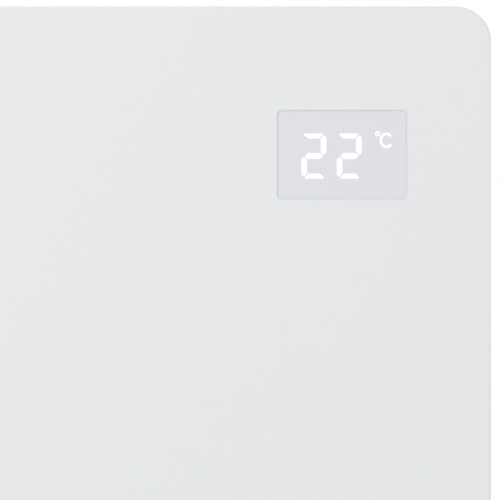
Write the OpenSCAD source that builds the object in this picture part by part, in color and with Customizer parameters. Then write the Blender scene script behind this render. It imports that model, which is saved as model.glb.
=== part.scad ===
// Electric wall heater with a glazed ceramic front plate and a display window, hung on a steel
// wall bracket. All sizes are millimetres.
//
// Pieces are drawn in heater coordinates: x to the right, y up and z from the wall towards the
// room, with the front plate's centre at x = 0, y = 0 and the wall at z = 0. place() stands them
// up in the part's own frame, whose origin is the middle of the bracket's screw holes, on the
// wall, with +Z up and the front facing -Y.

/* [Front plate] */
// Width of the ceramic plate
plate_w = 500; // [490:5:560]
// Height of the ceramic plate
plate_h = 500; // [480:5:560]
// Thickness of the ceramic plate
plate_t = 10; // [9:0.5:14]
// Radius of the plate's corners
plate_corner_r = 15; // [8:1:24]
// Rounding along the plate's front edge
plate_edge_r = 1.5; // [0.5:0.25:3]

/* [Display window] */
// From the plate's top and right edges to the window's centre
window_inset = 65.5; // [63:0.5:75]
// Width of the window
window_w = 57.2; // [54:0.2:64]
// Height of the window
window_h = 39.1; // [36:0.1:44]
// Radius of the window's corners
window_corner_r = 2.2; // [1:0.1:3]
// Bevel round the window, on the plate's face
window_bevel = 0.4; // [0.2:0.1:0.8]
// Gap between the lens and the hole in the plate
lens_gap = 0.3; // [0.2:0.05:0.5]
// How far the lens lies below the plate's face
lens_recess = 0.6; // [0.3:0.1:1]
// Thickness of the lens's front
lens_front_t = 2.4; // [1.6:0.1:3]
// Thickness of the lens's side walls
lens_wall = 1.2; // [0.8:0.1:1.6]
// Width of the lip by which the lens is bonded behind the plate
lens_lip = 3; // [2:0.5:4]
// Thickness of that lip
lens_lip_t = 1.2; // [0.8:0.1:1.6]
// Height of a digit
digit_h = 20; // [16:0.5:22]
// Width of a digit
digit_w = 11; // [9:0.25:12]
// Distance from one digit to the next
digit_pitch = 15.7; // [14:0.1:18]
// From the window's centre to the middle of the two digits
digit_shift = 4.7; // [3:0.1:6]
// Width of a segment
segment_w = 2.5; // [1.6:0.1:2.8]
// Depth of the light guides in the segments
segment_depth = 1.2; // [0.8:0.1:1.6]
// Thickness of the ring that carries the display board
carrier_t = 4; // [3:0.5:5]
// Width of that ring outside the window
carrier_margin = 11; // [10:0.5:12]

/* [Casing] */
// How far the plate stands past the casing on every side
overhang = 8; // [7:0.5:12]
// Thickness of the casing's sheet
sheet_t = 1; // [0.8:0.1:1.5]
// Depth of the casing
case_depth = 46; // [44:1:60]
// Radius of the casing's corners
case_corner_r = 10; // [8:1:14]
// Bend radius round the casing's back
case_bend_r = 3; // [2.5:0.5:4]
// Gap between the wall and the casing
wall_gap = 14; // [12:1:18]
// Width of the electronics bay, inside the casing
bay_w = 136; // [132:1:144]
// Length of the stiffening beads in the casing's back
bead_l = 290; // [200:5:310]
// Width of a stiffening bead
bead_w = 14; // [10:1:20]
// How far a bead stands out of the back
bead_h = 2; // [1.5:0.5:4]
// Distance from one bead to the next
bead_pitch = 40; // [30:1:50]
// Thickness of the silicone seal behind the plate
seal_t = 1; // [0.6:0.1:2]
// Width of the silicone seal
seal_w = 6; // [4:0.5:9]

/* [Inner frame] */
// Width of the inner frame's flange
frame_flange = 12; // [11:0.5:12.5]
// Depth of the inner frame's web
frame_web = 12; // [10:0.5:14]
// Thickness of the inner frame's sheet
frame_t = 1.2; // [1:0.1:1.5]
// Clearance between the inner frame and the casing
frame_gap = 0.4; // [0.2:0.1:0.8]
// From the casing's side to the nearest screw in its top and bottom
edge_screw_inset = 45; // [40:1:60]
// Height of the outer screws in the casing's sides, up and down from the middle
side_screw_y = 150; // [130:1:148]

/* [Air openings] */
// Width of a vent slot
vent_w = 3.2; // [2:0.1:4]
// Length of a vent slot
vent_l = 24; // [16:1:26]
// Distance from one vent slot to the next
vent_pitch = 9; // [7:0.5:12]
// Length of the vent slots of the electronics bay
bay_vent_l = 20; // [12:1:24]
// Depth of the hole for the outlet grille
grille_d = 24; // [20:1:24]
// Width of the lip round the outlet grille
grille_lip = 2; // [1.5:0.5:3]
// Thickness of that lip
grille_lip_t = 1.6; // [1.2:0.1:2]
// Distance from the casing's corners to the grille's lip
grille_clear = 2.4; // [1:0.2:30]
// Height of the grille below the casing's top
grille_h = 9; // [7:0.5:11]
// Thickness of the grille's outer wall
grille_wall = 1.4; // [1:0.1:2]
// Number of long vanes in the grille
vane_count = 4; // [3:1:5]
// Thickness of a vane
vane_t = 1.2; // [0.8:0.1:1.6]
// Slant of the vanes towards the room
vane_slant = 32; // [15:1:40]
// Number of cross ribs in the grille
rib_count = 8; // [5:1:12]
// Thickness of a cross rib
rib_t = 1.4; // [0.8:0.1:2]

/* [Heating core] */
// Number of brick columns
columns = 3; // [2:1:3]
// Number of brick rows, and of passes of the element
rows = 6; // [4:2:6]
// Distance from one pass of the element to the next
pass_pitch = 60; // [54:1:62]
// Room beside the bricks for the element's bends
bend_room = 48.4; // [44:0.2:54]
// Thickness of a brick
brick_t = 11.7; // [9:0.1:12]
// Gap between bricks
brick_gap = 1; // [0.5:0.1:2]
// Radius of the sheathed element
tube_r = 3.3; // [2.5:0.1:4]
// Thickness of the heat-conducting bond between the bricks and the plate
bond_t = 0.3; // [0.2:0.1:0.6]
// Thickness of the insulating board
board_t = 6; // [4:0.5:7]
// Thickness of the reflector sheet
reflector_t = 0.8; // [0.5:0.1:1]
// Width of a strap that holds the bricks
strap_w = 14; // [10:1:18]
// Thickness of a strap and of the partition
strap_t = 1.2; // [0.8:0.1:1.5]
// Radius of a ceramic bush where the element leaves the core
bush_r = 5; // [4.5:0.1:6]

/* [Wall bracket] */
// Width of the bracket
bracket_w = 360; // [340:5:400]
// Height of the bracket
bracket_h = 56; // [52:1:70]
// Thickness of the bracket's sheet
bracket_t = 1.5; // [1.2:0.1:2]
// Height of the flanges along the bracket's edges
bracket_fold = 7; // [5:0.5:9]
// From the plate's centre up to the middle of the bracket
rail_y = 130; // [110:1:140]
// From the middle of the bracket to each hook
hook_x = 150; // [140:1:155]
// Width of a hook
hook_w = 24; // [18:1:28]
// Height of a hook's upright tip
hook_tip = 10; // [8:0.5:12]
// Distance across between the screw holes
screw_dx = 200; // [160:5:220]
// Distance down between the screw holes
screw_dy = 32; // [28:1:34]
// Radius of the screw holes
screw_r = 2.75; // [2:0.05:3]
// From the casing's side to a wall buffer
buffer_side = 62; // [57:1:82]
// From the casing's bottom up to a wall buffer
buffer_inset = 37; // [32:1:42]
// Radius of a wall buffer
buffer_r = 10; // [8:0.5:12]

/* [Keys] */
// Distance from one key to the next
key_pitch = 18; // [16:0.5:20]
// Radius of a key
key_r = 5.2; // [4:0.1:5.6]
// How far a key is pressed in
key_travel = 0.6; // [0.3:0.1:0.8]
// How far a key stands out of the casing
key_out = 2.6; // [2.2:0.1:3.5]
// Height of the keys' centre line above the casing's back
key_lift = 18; // [17:0.5:19]
// Thickness of the bezel round the keys
bezel_t = 1.4; // [1:0.1:1.8]

/* [Power switch] */
// From the casing's bottom up to the power switch
switch_inset = 92; // [80:1:110]
// Length of the switch's body, up and down
switch_l = 19; // [18.6:0.1:20]
// Width of the switch's body
switch_w = 12.8; // [12.4:0.1:14]
// Depth of the switch's body
switch_depth = 15; // [13:0.5:16]
// Turn of the rocker from one end to the other, in degrees
rocker_turn = 20; // [14:1:24]

/* [Control electronics] */
// Width of the power board
circuit_w = 92; // [90:1:95]
// Height of the power board
circuit_h = 150; // [146:1:160]
// Thickness of the circuit boards
circuit_t = 1.6; // [1:0.1:2]
// Height of the posts under the power board
standoff_h = 8; // [6:0.5:10]
// Height of the supply module
supply_h = 18; // [14:0.5:20]
// Height of a relay
relay_h = 15.5; // [12:0.5:18]
// Height of the filter capacitor
capacitor_h = 17; // [12:0.5:20]
// Height of the terminal block
terminal_h = 17; // [15:0.5:20]
// Radius of the insulated wires
wire_r = 1.5; // [1:0.1:1.6]
// Radius of the room sensor
sensor_r = 2.6; // [2:0.1:3]

/* [Cord inlet] */
// From the casing's right side to the cord inlet
inlet_side = 42; // [32:1:46]
// Radius of the hole for the cord
cord_hole_r = 3.6; // [3:0.1:4.5]
// Radius of the bush's body
bush_body_r = 7.9; // [7:0.1:8.5]

/* [Hidden] */
$fn = 48;
// How far a cutting shape runs past what it cuts, and how long a cutter through sheet is
cut = 1;
pierce = 4;
// Slack of a loose fit, and of a pin or rivet in its hole
slack = 0.15;
snug = 0.05;

// Levels, from the wall towards the room
back_z = wall_gap;
floor_z = back_z + sheet_t;
mouth_z = back_z + case_depth;
plate_z = mouth_z + seal_t;
face_z = plate_z + plate_t;

// Casing, frame and bay
case_w = plate_w - 2 * overhang;
case_h = plate_h - 2 * overhang;
side_x = case_w / 2;
in_x = side_x - sheet_t;
in_y = case_h / 2 - sheet_t;
frame_w = 2 * (in_x - frame_gap);
frame_h = 2 * (in_y - frame_gap);
frame_r = case_corner_r - sheet_t - frame_gap;
frame_bend = 0.6;
frame_window_r = 4;
flange_z = mouth_z - frame_t;
screw_z = mouth_z - frame_web / 2;
seal_inset = 2;
bay_x = in_x - bay_w;
hot_x = bay_x - strap_t;
core_x = (hot_x - in_x) / 2;
hot_w = hot_x + in_x;

// Openings in the casing's top and bottom
vent_z = back_z + 17;
vent_margin = 23;
bay_vent_margin = 14;
inlet_count = floor((hot_w - 2 * vent_margin) / vent_pitch) + 1;
grille_l = hot_w - 2 * (case_corner_r - sheet_t + grille_lip + grille_clear);
grille_corner_r = 3;
grille_gap = 0.3;

// Screws and rivets
head_r = 3.3;
head_h = 2.2;
shank_r = 1.75;
shank_l = 7;
small_head_r = 2.3;
small_head_h = 1.6;
small_shank_r = 1.2;
small_shank_l = 4;
rivet_r = 2;
rivet_head_r = 3.3;
rivet_head_h = 1.2;
washer_r = 4;

// Heating core
core_w = hot_w - 2 * bend_room;
column_pitch = (core_w + brick_gap) / columns;
brick_w = column_pitch - brick_gap;
tube_z = plate_z - bond_t - brick_t;
rear_z = tube_z - brick_t;
groove_gap = 0.2;
strap_foot = 15;
strap_end_y = frame_h / 2 - 2.5;
strap_leg_y = strap_end_y - strap_foot;
flange_rivet_y = frame_h / 2 - frame_flange / 2;
partition_foot = 14;
partition_rivet_x = bay_x + 6;
pin_y = (rows - 1) * pass_pitch / 2;
bush_l = 12;
bush_start = hot_x - 5;
collar_t = 3;
collar_r = bush_r + 2;
pin_r = 1.2;
tab_w = 6.3;
tab_t = 0.8;
tab_l = 12;
tab_end = bush_start + bush_l + tab_l;
liner_h = case_h - 2 * (grille_h + 8);
liner_w = hot_w - 6;
liner_z = floor_z + board_t;
liner_rivet_x = liner_w / 2 - 24.4;
liner_rivet_y = liner_h / 2 - 35;
cutout_r = 8;
cutout_h = 12;
cutout_ear = 16;
cutout_y = 195;
cutout_z = floor_z + 20;
cutout_tab_l = 9;
small_tab_w = 4.8;
cutout_pitch = 8;
cutout_end = hot_x - 1 + cutout_h + cutout_tab_l;

// Display stack, from the lens back to the circuit board
window_x = plate_w / 2 - window_inset;
window_y = plate_h / 2 - window_inset;
lens_z = face_z - lens_recess;
lens_edge_r = 0.25;
cup_w = window_w - 2 * (lens_gap + lens_wall);
cup_h = window_h - 2 * (lens_gap + lens_wall);
carrier_w = window_w + 2 * carrier_margin;
carrier_h = window_h + 2 * carrier_margin;
carrier_r = 4;
carrier_screw = 4;
carrier_skin = 0.8;
module_gap = 0.4;
module_z = plate_z - carrier_t;
module_top = lens_z - lens_front_t - 0.3;
segment_gap = 0.35;

// Keys, on the right side of the casing
key_z = back_z + key_lift;
key_y = window_y;
bezel_w = 17;
bezel_l = 2 * key_pitch + 30;
bezel_lip = 2;
bezel_neck_w = bezel_w - 2 * bezel_lip;
bezel_neck_l = bezel_l - 2 * bezel_lip;
bezel_depth = 1.5;
bezel_back = in_x - bezel_depth;
key_flange = 0.9;
key_edge_r = 0.9;
key_board_in = 11.4;
key_board_x = side_x - key_board_in;
tact_w = 6.2;
tact_h = 2.4;
tact_floor = 0.5;
tact_tip = 3.3;
plunger_r = 1.7;
plunger_l = tact_tip - tact_floor - key_travel - slack;
stem_r = 2.3;
key_post_y = key_pitch + 9;
key_post_r = 2.4;
post_bottom = 1;

// Power switch, on the right side of the casing
switch_y = switch_inset - case_h / 2;
switch_z = back_z + 17;
switch_lip = 1;
switch_lip_t = 2;
pivot_x = side_x - 1.5;
rocker_r = 8;
rocker_w = 10;
rocker_gap = 0.4;
rocker_rise = 3.3;
rocker_back = 2.5;
rocker_pin_r = 1.2;
switch_bottom = 9;
switch_tab_l = 8;
switch_tab_pitch = 5.5;
switch_end = side_x - switch_depth - switch_tab_l;

// Power board, on the casing's back
circuit_x = bay_x + 7 + circuit_w / 2;
circuit_foot = 56;
circuit_y = circuit_foot + circuit_h / 2 - in_y;
circuit_top = circuit_y + circuit_h / 2;
circuit_z = floor_z + standoff_h;
parts_z = circuit_z + circuit_t;
standoff_r = 3.2;
clinch_r = 2;
circuit_screw = 5;
supply_size = [36, 24];
supply_at = [-20, circuit_h / 2 - 31];
relay_size = [20, 16];
relay_pitch = 26;
relays_at = [[-24, 67 - circuit_h / 2], [-24, 67 - relay_pitch - circuit_h / 2]];
capacitor_size = [26, 12];
capacitor_at = [8, 45 - circuit_h / 2];
fuse_at = [24, 79 - circuit_h / 2];
fuse_r = 2.4;
fuse_l = 20;
terminal_size = [32, 16];
terminal_at = [8, 13 - circuit_h / 2];
terminal_pitch = 10;
terminal_hole_r = 2.6;
terminal_wire_z = 7;

// Wire ends
sleeve_t = 3.8;
sleeve_r = 1.2;
sleeve_side = 1;
sleeve_over = 8;
sleeve_nose = 4;
barrel_r = 2.2;
barrel_l = 5;
sleeve_reach = sleeve_nose + barrel_l;
pin_wire_x = tab_end + sleeve_reach;
cutout_wire_x = cutout_end + sleeve_reach;
switch_wire_x = switch_end - sleeve_reach;
lead_bend = 7;
lead_straight = 5;
lead_drop = 3.5;
board_edge = 13;
bay_lead_x = bay_x + 14;
bay_lead_z = floor_z + 12;
pin_pad_y = circuit_y + relays_at[1][1] - relay_size[1] / 2 - 6;
ribbon_w = 12;
ribbon_t = 0.9;
ribbon_x = window_x - 22;
ribbon_z = floor_z + 20;

// Cord inlet, buffers, sensor and earth stud
inlet_x = side_x - inlet_side;
inlet_z = back_z + 18;
bush_flange_r = bush_body_r + 2.6;
bush_flange_t = 2.5;
bush_snout = 4;
bush_in = 12;
nut_t = 4;
buffer_x = side_x - buffer_side;
buffer_y = case_h / 2 - buffer_inset;
buffer_stem_r = 4;
buffer_barb_r = 5.4;
buffer_barb_h = 4;
sensor_x = bay_x + 45;
sensor_y = 23 - in_y;
sensor_z = floor_z + 18;
sensor_l = 24;
clip_base = [12, 14, 2];
clip_w = 5;
clip_wall = 2;
stud_x = bay_x + 22;
stud_y = 36 - in_y;
stud_r = 2;
stud_l = 11;
stud_foot_r = 3.5;
stud_foot_t = 1;
stud_nut_t = 3.2;
tag_t = 1;
tag_l = 12;

// Bracket
hook_gap = 0.5;
hook_window = 2;
lift = hook_tip + 2;
slot_gap = 1.5;
slot_side = 1.5;
slot_h = bracket_t + lift + slot_gap;
arm_y = rail_y - bracket_h / 2 + 16;
arm_top = arm_y + bracket_t / 2;
tip_z = floor_z + hook_gap;
bracket_r = 5;
bracket_slot = [40, 14];

// From heater coordinates to the part's own frame
module place() translate([0, 0, -rail_y]) rotate([90, 0, 0]) children();

// Something drawn with z pointing outwards, turned to stand out of the casing's right side
module on_side(x, y, z) translate([x, y, z]) rotate([0, 90, 0]) children();

// Something drawn at the power board's middle, with z up from its face
module on_board(at) place() translate([circuit_x + at[0], circuit_y + at[1], parts_z]) children();

// Rectangle with round corners
module round_rect(w, h, r) {
    square([w - 2 * r, h], center = true);
    square([w, h - 2 * r], center = true);
    for (x = [-1, 1], y = [-1, 1]) translate([x * (w / 2 - r), y * (h / 2 - r)]) circle(r);
}

// Slot with round ends, along x
module slot(l, w) {
    square([l - w, w], center = true);
    for (s = [-1, 1]) translate([s * (l - w) / 2, 0]) circle(d = w);
}

// Flat ring with round outer corners, s wide
module ring(w, h, r, s) difference() {
    round_rect(w, h, r);
    square([w - 2 * s, h - 2 * s], center = true);
}

// Children at the four corners of a w by h rectangle
module corners(w, h) for (x = [-1, 1], y = [-1, 1]) translate([x * w / 2, y * h / 2, 0]) children();

// Half of a slab's section, with the outer top edge rounded by e
module slab_half(reach, t, e) {
    square([reach - e, t]);
    square([reach, t - e]);
    translate([reach - e, t - e]) circle(e);
}

module slab_section(reach, t, e) {
    translate([-(reach - e), 0]) square([2 * (reach - e), t]);
    translate([-reach, 0]) square([2 * reach, t - e]);
    for (s = [-1, 1]) translate([s * (reach - e), t - e]) circle(e);
}

// Slab with corner radius r and its top edge rounded by e, which is at most half of r
module slab(w, h, t, r, e) {
    rotate([90, 0, 90]) linear_extrude(w - 2 * r, center = true) slab_section(h / 2, t, e);
    rotate([90, 0, 0]) linear_extrude(h - 2 * r, center = true) slab_section(w / 2, t, e);
    corners(w - 2 * r, h - 2 * r) rotate_extrude() slab_half(r, t, e);
}

// Half of a pressed tray's section: closed at the top, wall s, outer bend radius e
module tray_half(reach, t, e, s) difference() {
    slab_half(reach, t, e);
    square([reach - e, t - s]);
    translate([0, -cut]) square([reach - s, t - e + cut]);
    translate([reach - e, t - e]) circle(e - s);
}

module tray_section(reach, t, e, s) {
    tray_half(reach, t, e, s);
    mirror([1, 0]) tray_half(reach, t, e, s);
}

// Tray pressed from sheet, w by h, t deep, open below
module tray(w, h, t, r, e, s) {
    rotate([90, 0, 90]) linear_extrude(w - 2 * r, center = true) tray_section(h / 2, t, e, s);
    rotate([90, 0, 0]) linear_extrude(h - 2 * r, center = true) tray_section(w / 2, t, e, s);
    for (k = [0 : 3])
        translate([(k == 0 || k == 3 ? 1 : -1) * (w / 2 - r), (k < 2 ? 1 : -1) * (h / 2 - r), 0])
            rotate(90 * k) rotate_extrude(angle = 90) tray_half(r, t, e, s);
}

// Long pressed bead, hollow below
module bead(l, w, t, e, s) {
    rotate([90, 0, 90]) linear_extrude(l - w, center = true) tray_section(w / 2, t, e, s);
    for (k = [-1, 1])
        translate([k * (l - w) / 2, 0, 0]) rotate(-90 * k)
            rotate_extrude(angle = 180) tray_half(w / 2, t, e, s);
}

// Pan-head screw with its head above z = 0 and a cross recess
module screw(head_r, head_h, shank_r, shank_l) {
    difference() {
        rotate_extrude() slab_half(head_r, head_h, head_h * 0.45);
        for (a = [0, 90]) rotate(a) translate([0, 0, head_h])
            cube([head_r * 1.1, head_r * 0.28, head_h * 0.9], center = true);
    }
    translate([0, 0, -shank_l]) cylinder(h = shank_l, r = shank_r);
}

// Hole of radius r through sheet near z = 0
module pierced(r) cylinder(h = 2 * pierce, r = r, center = true);

function unit(v) = v / norm(v);
function at(p, i) = p[max(0, min(len(p) - 1, i))];
// Point at share u of the stretch after point i, on a smooth curve through the points p
function along(p, i, u) =
    0.5 * (2 * at(p, i) + u * (at(p, i + 1) - at(p, i - 1))
        + u * u * (2 * at(p, i - 1) - 5 * at(p, i) + 4 * at(p, i + 1) - at(p, i + 2))
        + u * u * u * (3 * at(p, i) - at(p, i - 1) - 3 * at(p, i + 1) + at(p, i + 2)));
function smooth(p, steps) = concat(
    [for (i = [0 : len(p) - 2], k = [0 : steps - 1]) along(p, i, k / steps)], [p[len(p) - 1]]);
// Direction of the curve q at point i; its ends run along the first and last stretch of p
function heading(p, q, i) = i == 0 ? unit(p[1] - p[0])
    : i == len(q) - 1 ? unit(p[len(p) - 1] - p[len(p) - 2])
    : unit(q[i + 1] - q[i - 1]);

// Skin over rings of n points each, closed at both ends
module skin(rings) {
    n = len(rings[0]);
    last = (len(rings) - 1) * n;
    polyhedron(
        [for (ring = rings) each ring],
        concat(
            [[for (k = [0 : n - 1]) k]],
            [for (i = [0 : len(rings) - 2], k = [0 : n - 1])
                [i * n + k, (i + 1) * n + k, (i + 1) * n + (k + 1) % n, i * n + (k + 1) % n]],
            [[for (k = [n - 1 : -1 : 0]) last + k]]));
}

// Insulated wire of radius r through the points p; up is never along the wire
module wire(p, r, up) {
    q = smooth(p, 5);
    skin([for (i = [0 : len(q) - 1])
        let (t = heading(p, q, i), a = unit(cross(t, up)), b = cross(a, t))
        [for (k = [0 : 7]) q[i] + r * (cos(45 * k) * a + sin(45 * k) * b)]]);
}

// Flat ribbon cable through the points p, w wide along x
module ribbon(p, w, t) {
    q = smooth(p, 5);
    side = [w / 2, 0, 0];
    skin([for (i = [0 : len(q) - 1])
        let (b = unit(cross(heading(p, q, i), side)) * t / 2)
        [q[i] + side + b, q[i] - side + b, q[i] - side - b, q[i] + side - b]]);
}

// Bevel round the window: an upside-down cushion of 45 degree slopes
module window_bevel_cut() {
    w = window_w / 2;
    h = window_h / 2;
    r = window_corner_r;
    up = window_bevel + cut;
    rotate([90, 0, 0]) linear_extrude(2 * (h - r), center = true)
        polygon([[-w, 0], [w, 0], [w + up, up], [-w - up, up]]);
    rotate([90, 0, 90]) linear_extrude(2 * (w - r), center = true)
        polygon([[-h, 0], [h, 0], [h + up, up], [-h - up, up]]);
    corners(2 * (w - r), 2 * (h - r)) cylinder(h = up, r1 = r, r2 = r + up);
}

module front_plate() color("whitesmoke") place() difference() {
    translate([0, 0, plate_z]) slab(plate_w, plate_h, plate_t, plate_corner_r, plate_edge_r);
    translate([window_x, window_y, plate_z - cut]) linear_extrude(plate_t + 2 * cut)
        round_rect(window_w, window_h, window_corner_r);
    translate([window_x, window_y, face_z - window_bevel]) window_bevel_cut();
}

module plate_seal() color("lightgray") place() translate([0, 0, mouth_z]) linear_extrude(seal_t)
    ring(frame_w - 2 * seal_inset, frame_h - 2 * seal_inset, frame_r - seal_inset, seal_w);

// The screws that join the casing to the inner frame, each seen with z out of the casing
module at_edge_screws() {
    for (y = [-side_screw_y, 0, side_screw_y], s = [-1, 1])
        translate([s * side_x, y, screw_z]) rotate([0, s * 90, 0]) children();
    for (x = [-side_x + edge_screw_inset, core_x + column_pitch / 2, side_x - edge_screw_inset],
        s = [-1, 1])
        translate([x, s * case_h / 2, screw_z]) rotate([-s * 90, 0, 0]) children();
}

function strap_xs() = [for (i = [0 : columns - 1]) core_x + (i - (columns - 1) / 2) * column_pitch];
function flange_rivet_xs() = concat(strap_xs(), [partition_rivet_x]);

module inner_frame() color("silver") place() difference() {
    translate([0, 0, mouth_z - frame_web])
        tray(frame_w, frame_h, frame_web, frame_r, frame_t + frame_bend, frame_t);
    translate([0, 0, flange_z - cut]) linear_extrude(frame_t + 2 * cut)
        round_rect(frame_w - 2 * frame_flange, frame_h - 2 * frame_flange, frame_window_r);
    at_edge_screws() pierced(shank_r + slack);
    for (x = flange_rivet_xs(), s = [-1, 1]) translate([x, s * flange_rivet_y, flange_z])
        pierced(rivet_r + snug);
}

// A row of n vent slots through the casing's top or bottom wall
module vents(n, x0, y, l) for (i = [0 : n - 1]) translate([x0 + vent_pitch * i, y, vent_z])
    rotate([90, 0, 0]) linear_extrude(2 * pierce, center = true) rotate(90) slot(l, vent_w);

module core_vents() vents(inlet_count, core_x - (inlet_count - 1) / 2 * vent_pitch,
    -case_h / 2, vent_l);

module bay_vents() {
    below = floor((inlet_x - bush_flange_r - bay_x - 2 * bay_vent_margin) / vent_pitch);
    above = floor((bay_w - 2 * bay_vent_margin - case_corner_r) / vent_pitch);
    vents(below, bay_x + bay_vent_margin, -case_h / 2, bay_vent_l);
    vents(above, bay_x + bay_vent_margin, case_h / 2, bay_vent_l);
}

module cover_side_holes() {
    translate([core_x, case_h / 2, vent_z]) rotate([90, 0, 0])
        linear_extrude(2 * pierce, center = true) round_rect(grille_l, grille_d, grille_corner_r);
    translate([inlet_x, -case_h / 2, inlet_z]) rotate([90, 0, 0]) pierced(bush_body_r + slack);
    on_side(side_x, key_y, key_z) linear_extrude(2 * pierce, center = true)
        square([bezel_neck_w + 2 * slack, bezel_neck_l + 2 * slack], center = true);
    on_side(side_x, switch_y, switch_z) linear_extrude(2 * pierce, center = true)
        square([switch_w + 2 * slack, switch_l + 2 * slack], center = true);
    at_edge_screws() pierced(shank_r + slack);
}

module cover_back_holes() {
    for (s = [-1, 1]) {
        translate([s * hook_x, arm_top - slot_h / 2, back_z])
            cube([hook_w + 2 * slot_side, slot_h, 2 * pierce], center = true);
        translate([s * buffer_x, -buffer_y, back_z]) pierced(buffer_stem_r + slack);
    }
    translate([circuit_x, circuit_y, back_z])
        corners(circuit_w - 2 * circuit_screw, circuit_h - 2 * circuit_screw) pierced(clinch_r + snug);
    translate([core_x, 0, back_z]) corners(2 * liner_rivet_x, 2 * liner_rivet_y)
        pierced(rivet_r + snug);
}

// The three beads lie below the middle of the back
module at_beads(z) for (i = [0 : 2]) translate([core_x, -30 - i * bead_pitch, z]) children();

module rear_cover() color("white") place() {
    difference() {
        translate([0, 0, mouth_z]) rotate([180, 0, 0])
            tray(case_w, case_h, case_depth, case_corner_r, case_bend_r, sheet_t);
        core_vents();
        bay_vents();
        cover_side_holes();
        cover_back_holes();
        at_beads(back_z) linear_extrude(2 * pierce, center = true) slot(bead_l, bead_w);
    }
    at_beads(floor_z) rotate([180, 0, 0])
        bead(bead_l, bead_w, bead_h + sheet_t, 1.5 * sheet_t, sheet_t);
}

module casing_screws() color("silver") place() at_edge_screws() screw(head_r, head_h, shank_r, shank_l);

// Outlet grille, drawn with z up out of the casing's top and y towards the wall
module outlet_grille() color("lightgray") place()
    translate([core_x, case_h / 2, vent_z]) rotate([-90, 0, 0]) {
        body_l = grille_l - 2 * grille_gap;
        body_d = grille_d - 2 * grille_gap;
        in_l = body_l - 2 * grille_wall;
        in_d = body_d - 2 * grille_wall;
        tall = grille_h + grille_lip_t;
        edge = grille_lip_t / 2;
        difference() {
            union() {
                slab(grille_l + 2 * grille_lip, grille_d + 2 * grille_lip, grille_lip_t, 4, edge);
                translate([0, 0, -grille_h]) linear_extrude(grille_h + edge)
                    round_rect(body_l, body_d, grille_corner_r - grille_gap);
            }
            translate([0, 0, -grille_h - cut]) linear_extrude(tall + 2 * cut)
                square([in_l, in_d], center = true);
        }
        intersection() {
            translate([0, 0, -grille_h + tall / 2 - 0.3])
                cube([in_l + 2 * slack, in_d + 2 * slack, tall - 0.6], center = true);
            for (i = [0 : vane_count - 1])
                translate([0, (i - (vane_count - 1) / 2) * in_d / vane_count, -grille_h / 2])
                    rotate([vane_slant, 0, 0])
                        cube([in_l + 2 * slack, vane_t, 3 * tall], center = true);
        }
        for (i = [0 : rib_count - 1])
            translate([(i - (rib_count - 1) / 2) * in_l / rib_count, 0, -grille_h / 2])
                cube([rib_t, in_d + 2 * slack, grille_h - 1.6], center = true);
    }

module display_lens() color("lightsteelblue") place()
    translate([window_x, window_y, plate_z - lens_lip_t]) difference() {
        tall = lens_z - plate_z + lens_lip_t;
        union() {
            slab(window_w - 2 * lens_gap, window_h - 2 * lens_gap, tall,
                window_corner_r - lens_gap, lens_edge_r);
            linear_extrude(lens_lip_t)
                round_rect(window_w + 2 * lens_lip, window_h + 2 * lens_lip,
                    window_corner_r + lens_lip);
        }
        translate([0, 0, -cut]) linear_extrude(tall - lens_front_t + cut)
            square([cup_w, cup_h], center = true);
    }

// Six-sided bar, l long and w wide, along x
module segment(l, w) polygon([
    [-l / 2, 0], [-l / 2 + w / 2, w / 2], [l / 2 - w / 2, w / 2],
    [l / 2, 0], [l / 2 - w / 2, -w / 2], [-l / 2 + w / 2, -w / 2]]);

// The seven segments of both digits, each made bigger all round by grow
module digit_segments(grow) for (d = [-1, 1]) translate([d * digit_pitch / 2 - digit_shift, 0]) {
    across = digit_w - segment_w - 2 * segment_gap + 2 * grow;
    upright = (digit_h - segment_w) / 2 - 2 * segment_gap + 2 * grow;
    for (k = [-1, 0, 1]) translate([0, k * (digit_h - segment_w) / 2])
        segment(across, segment_w + 2 * grow);
    for (x = [-1, 1], y = [-1, 1])
        translate([x * (digit_w - segment_w) / 2, y * (digit_h - segment_w) / 4]) rotate(90)
            segment(upright, segment_w + 2 * grow);
}

module led_module() color("dimgray") place() translate([window_x, window_y, 0]) difference() {
    translate([0, 0, module_z]) linear_extrude(module_top - module_z)
        square([cup_w - 2 * module_gap, cup_h - 2 * module_gap], center = true);
    translate([0, 0, module_top - segment_depth]) linear_extrude(segment_depth + cut)
        digit_segments(snug);
}

module segment_guides() color("white") place()
    translate([window_x, window_y, module_top - segment_depth]) linear_extrude(segment_depth)
        digit_segments(0);

module at_carrier_screws()
    corners(carrier_w - 2 * carrier_screw, carrier_h - 2 * carrier_screw) children();

module display_carrier() color("darkgray") place() translate([window_x, window_y, module_z])
    difference() {
        linear_extrude(carrier_t)
            ring(carrier_w, carrier_h, carrier_r, carrier_margin - lens_lip - module_gap);
        at_carrier_screws()
            cylinder(h = 2 * (carrier_t - carrier_skin), r = small_shank_r + snug, center = true);
    }

module display_board() color("seagreen") place() translate([window_x, window_y, module_z - circuit_t])
    difference() {
        linear_extrude(circuit_t) round_rect(carrier_w, carrier_h, carrier_r);
        at_carrier_screws() pierced(small_shank_r + slack);
    }

// Keys: z points out of the casing's right side, x is along the wall's depth and y is up

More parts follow.
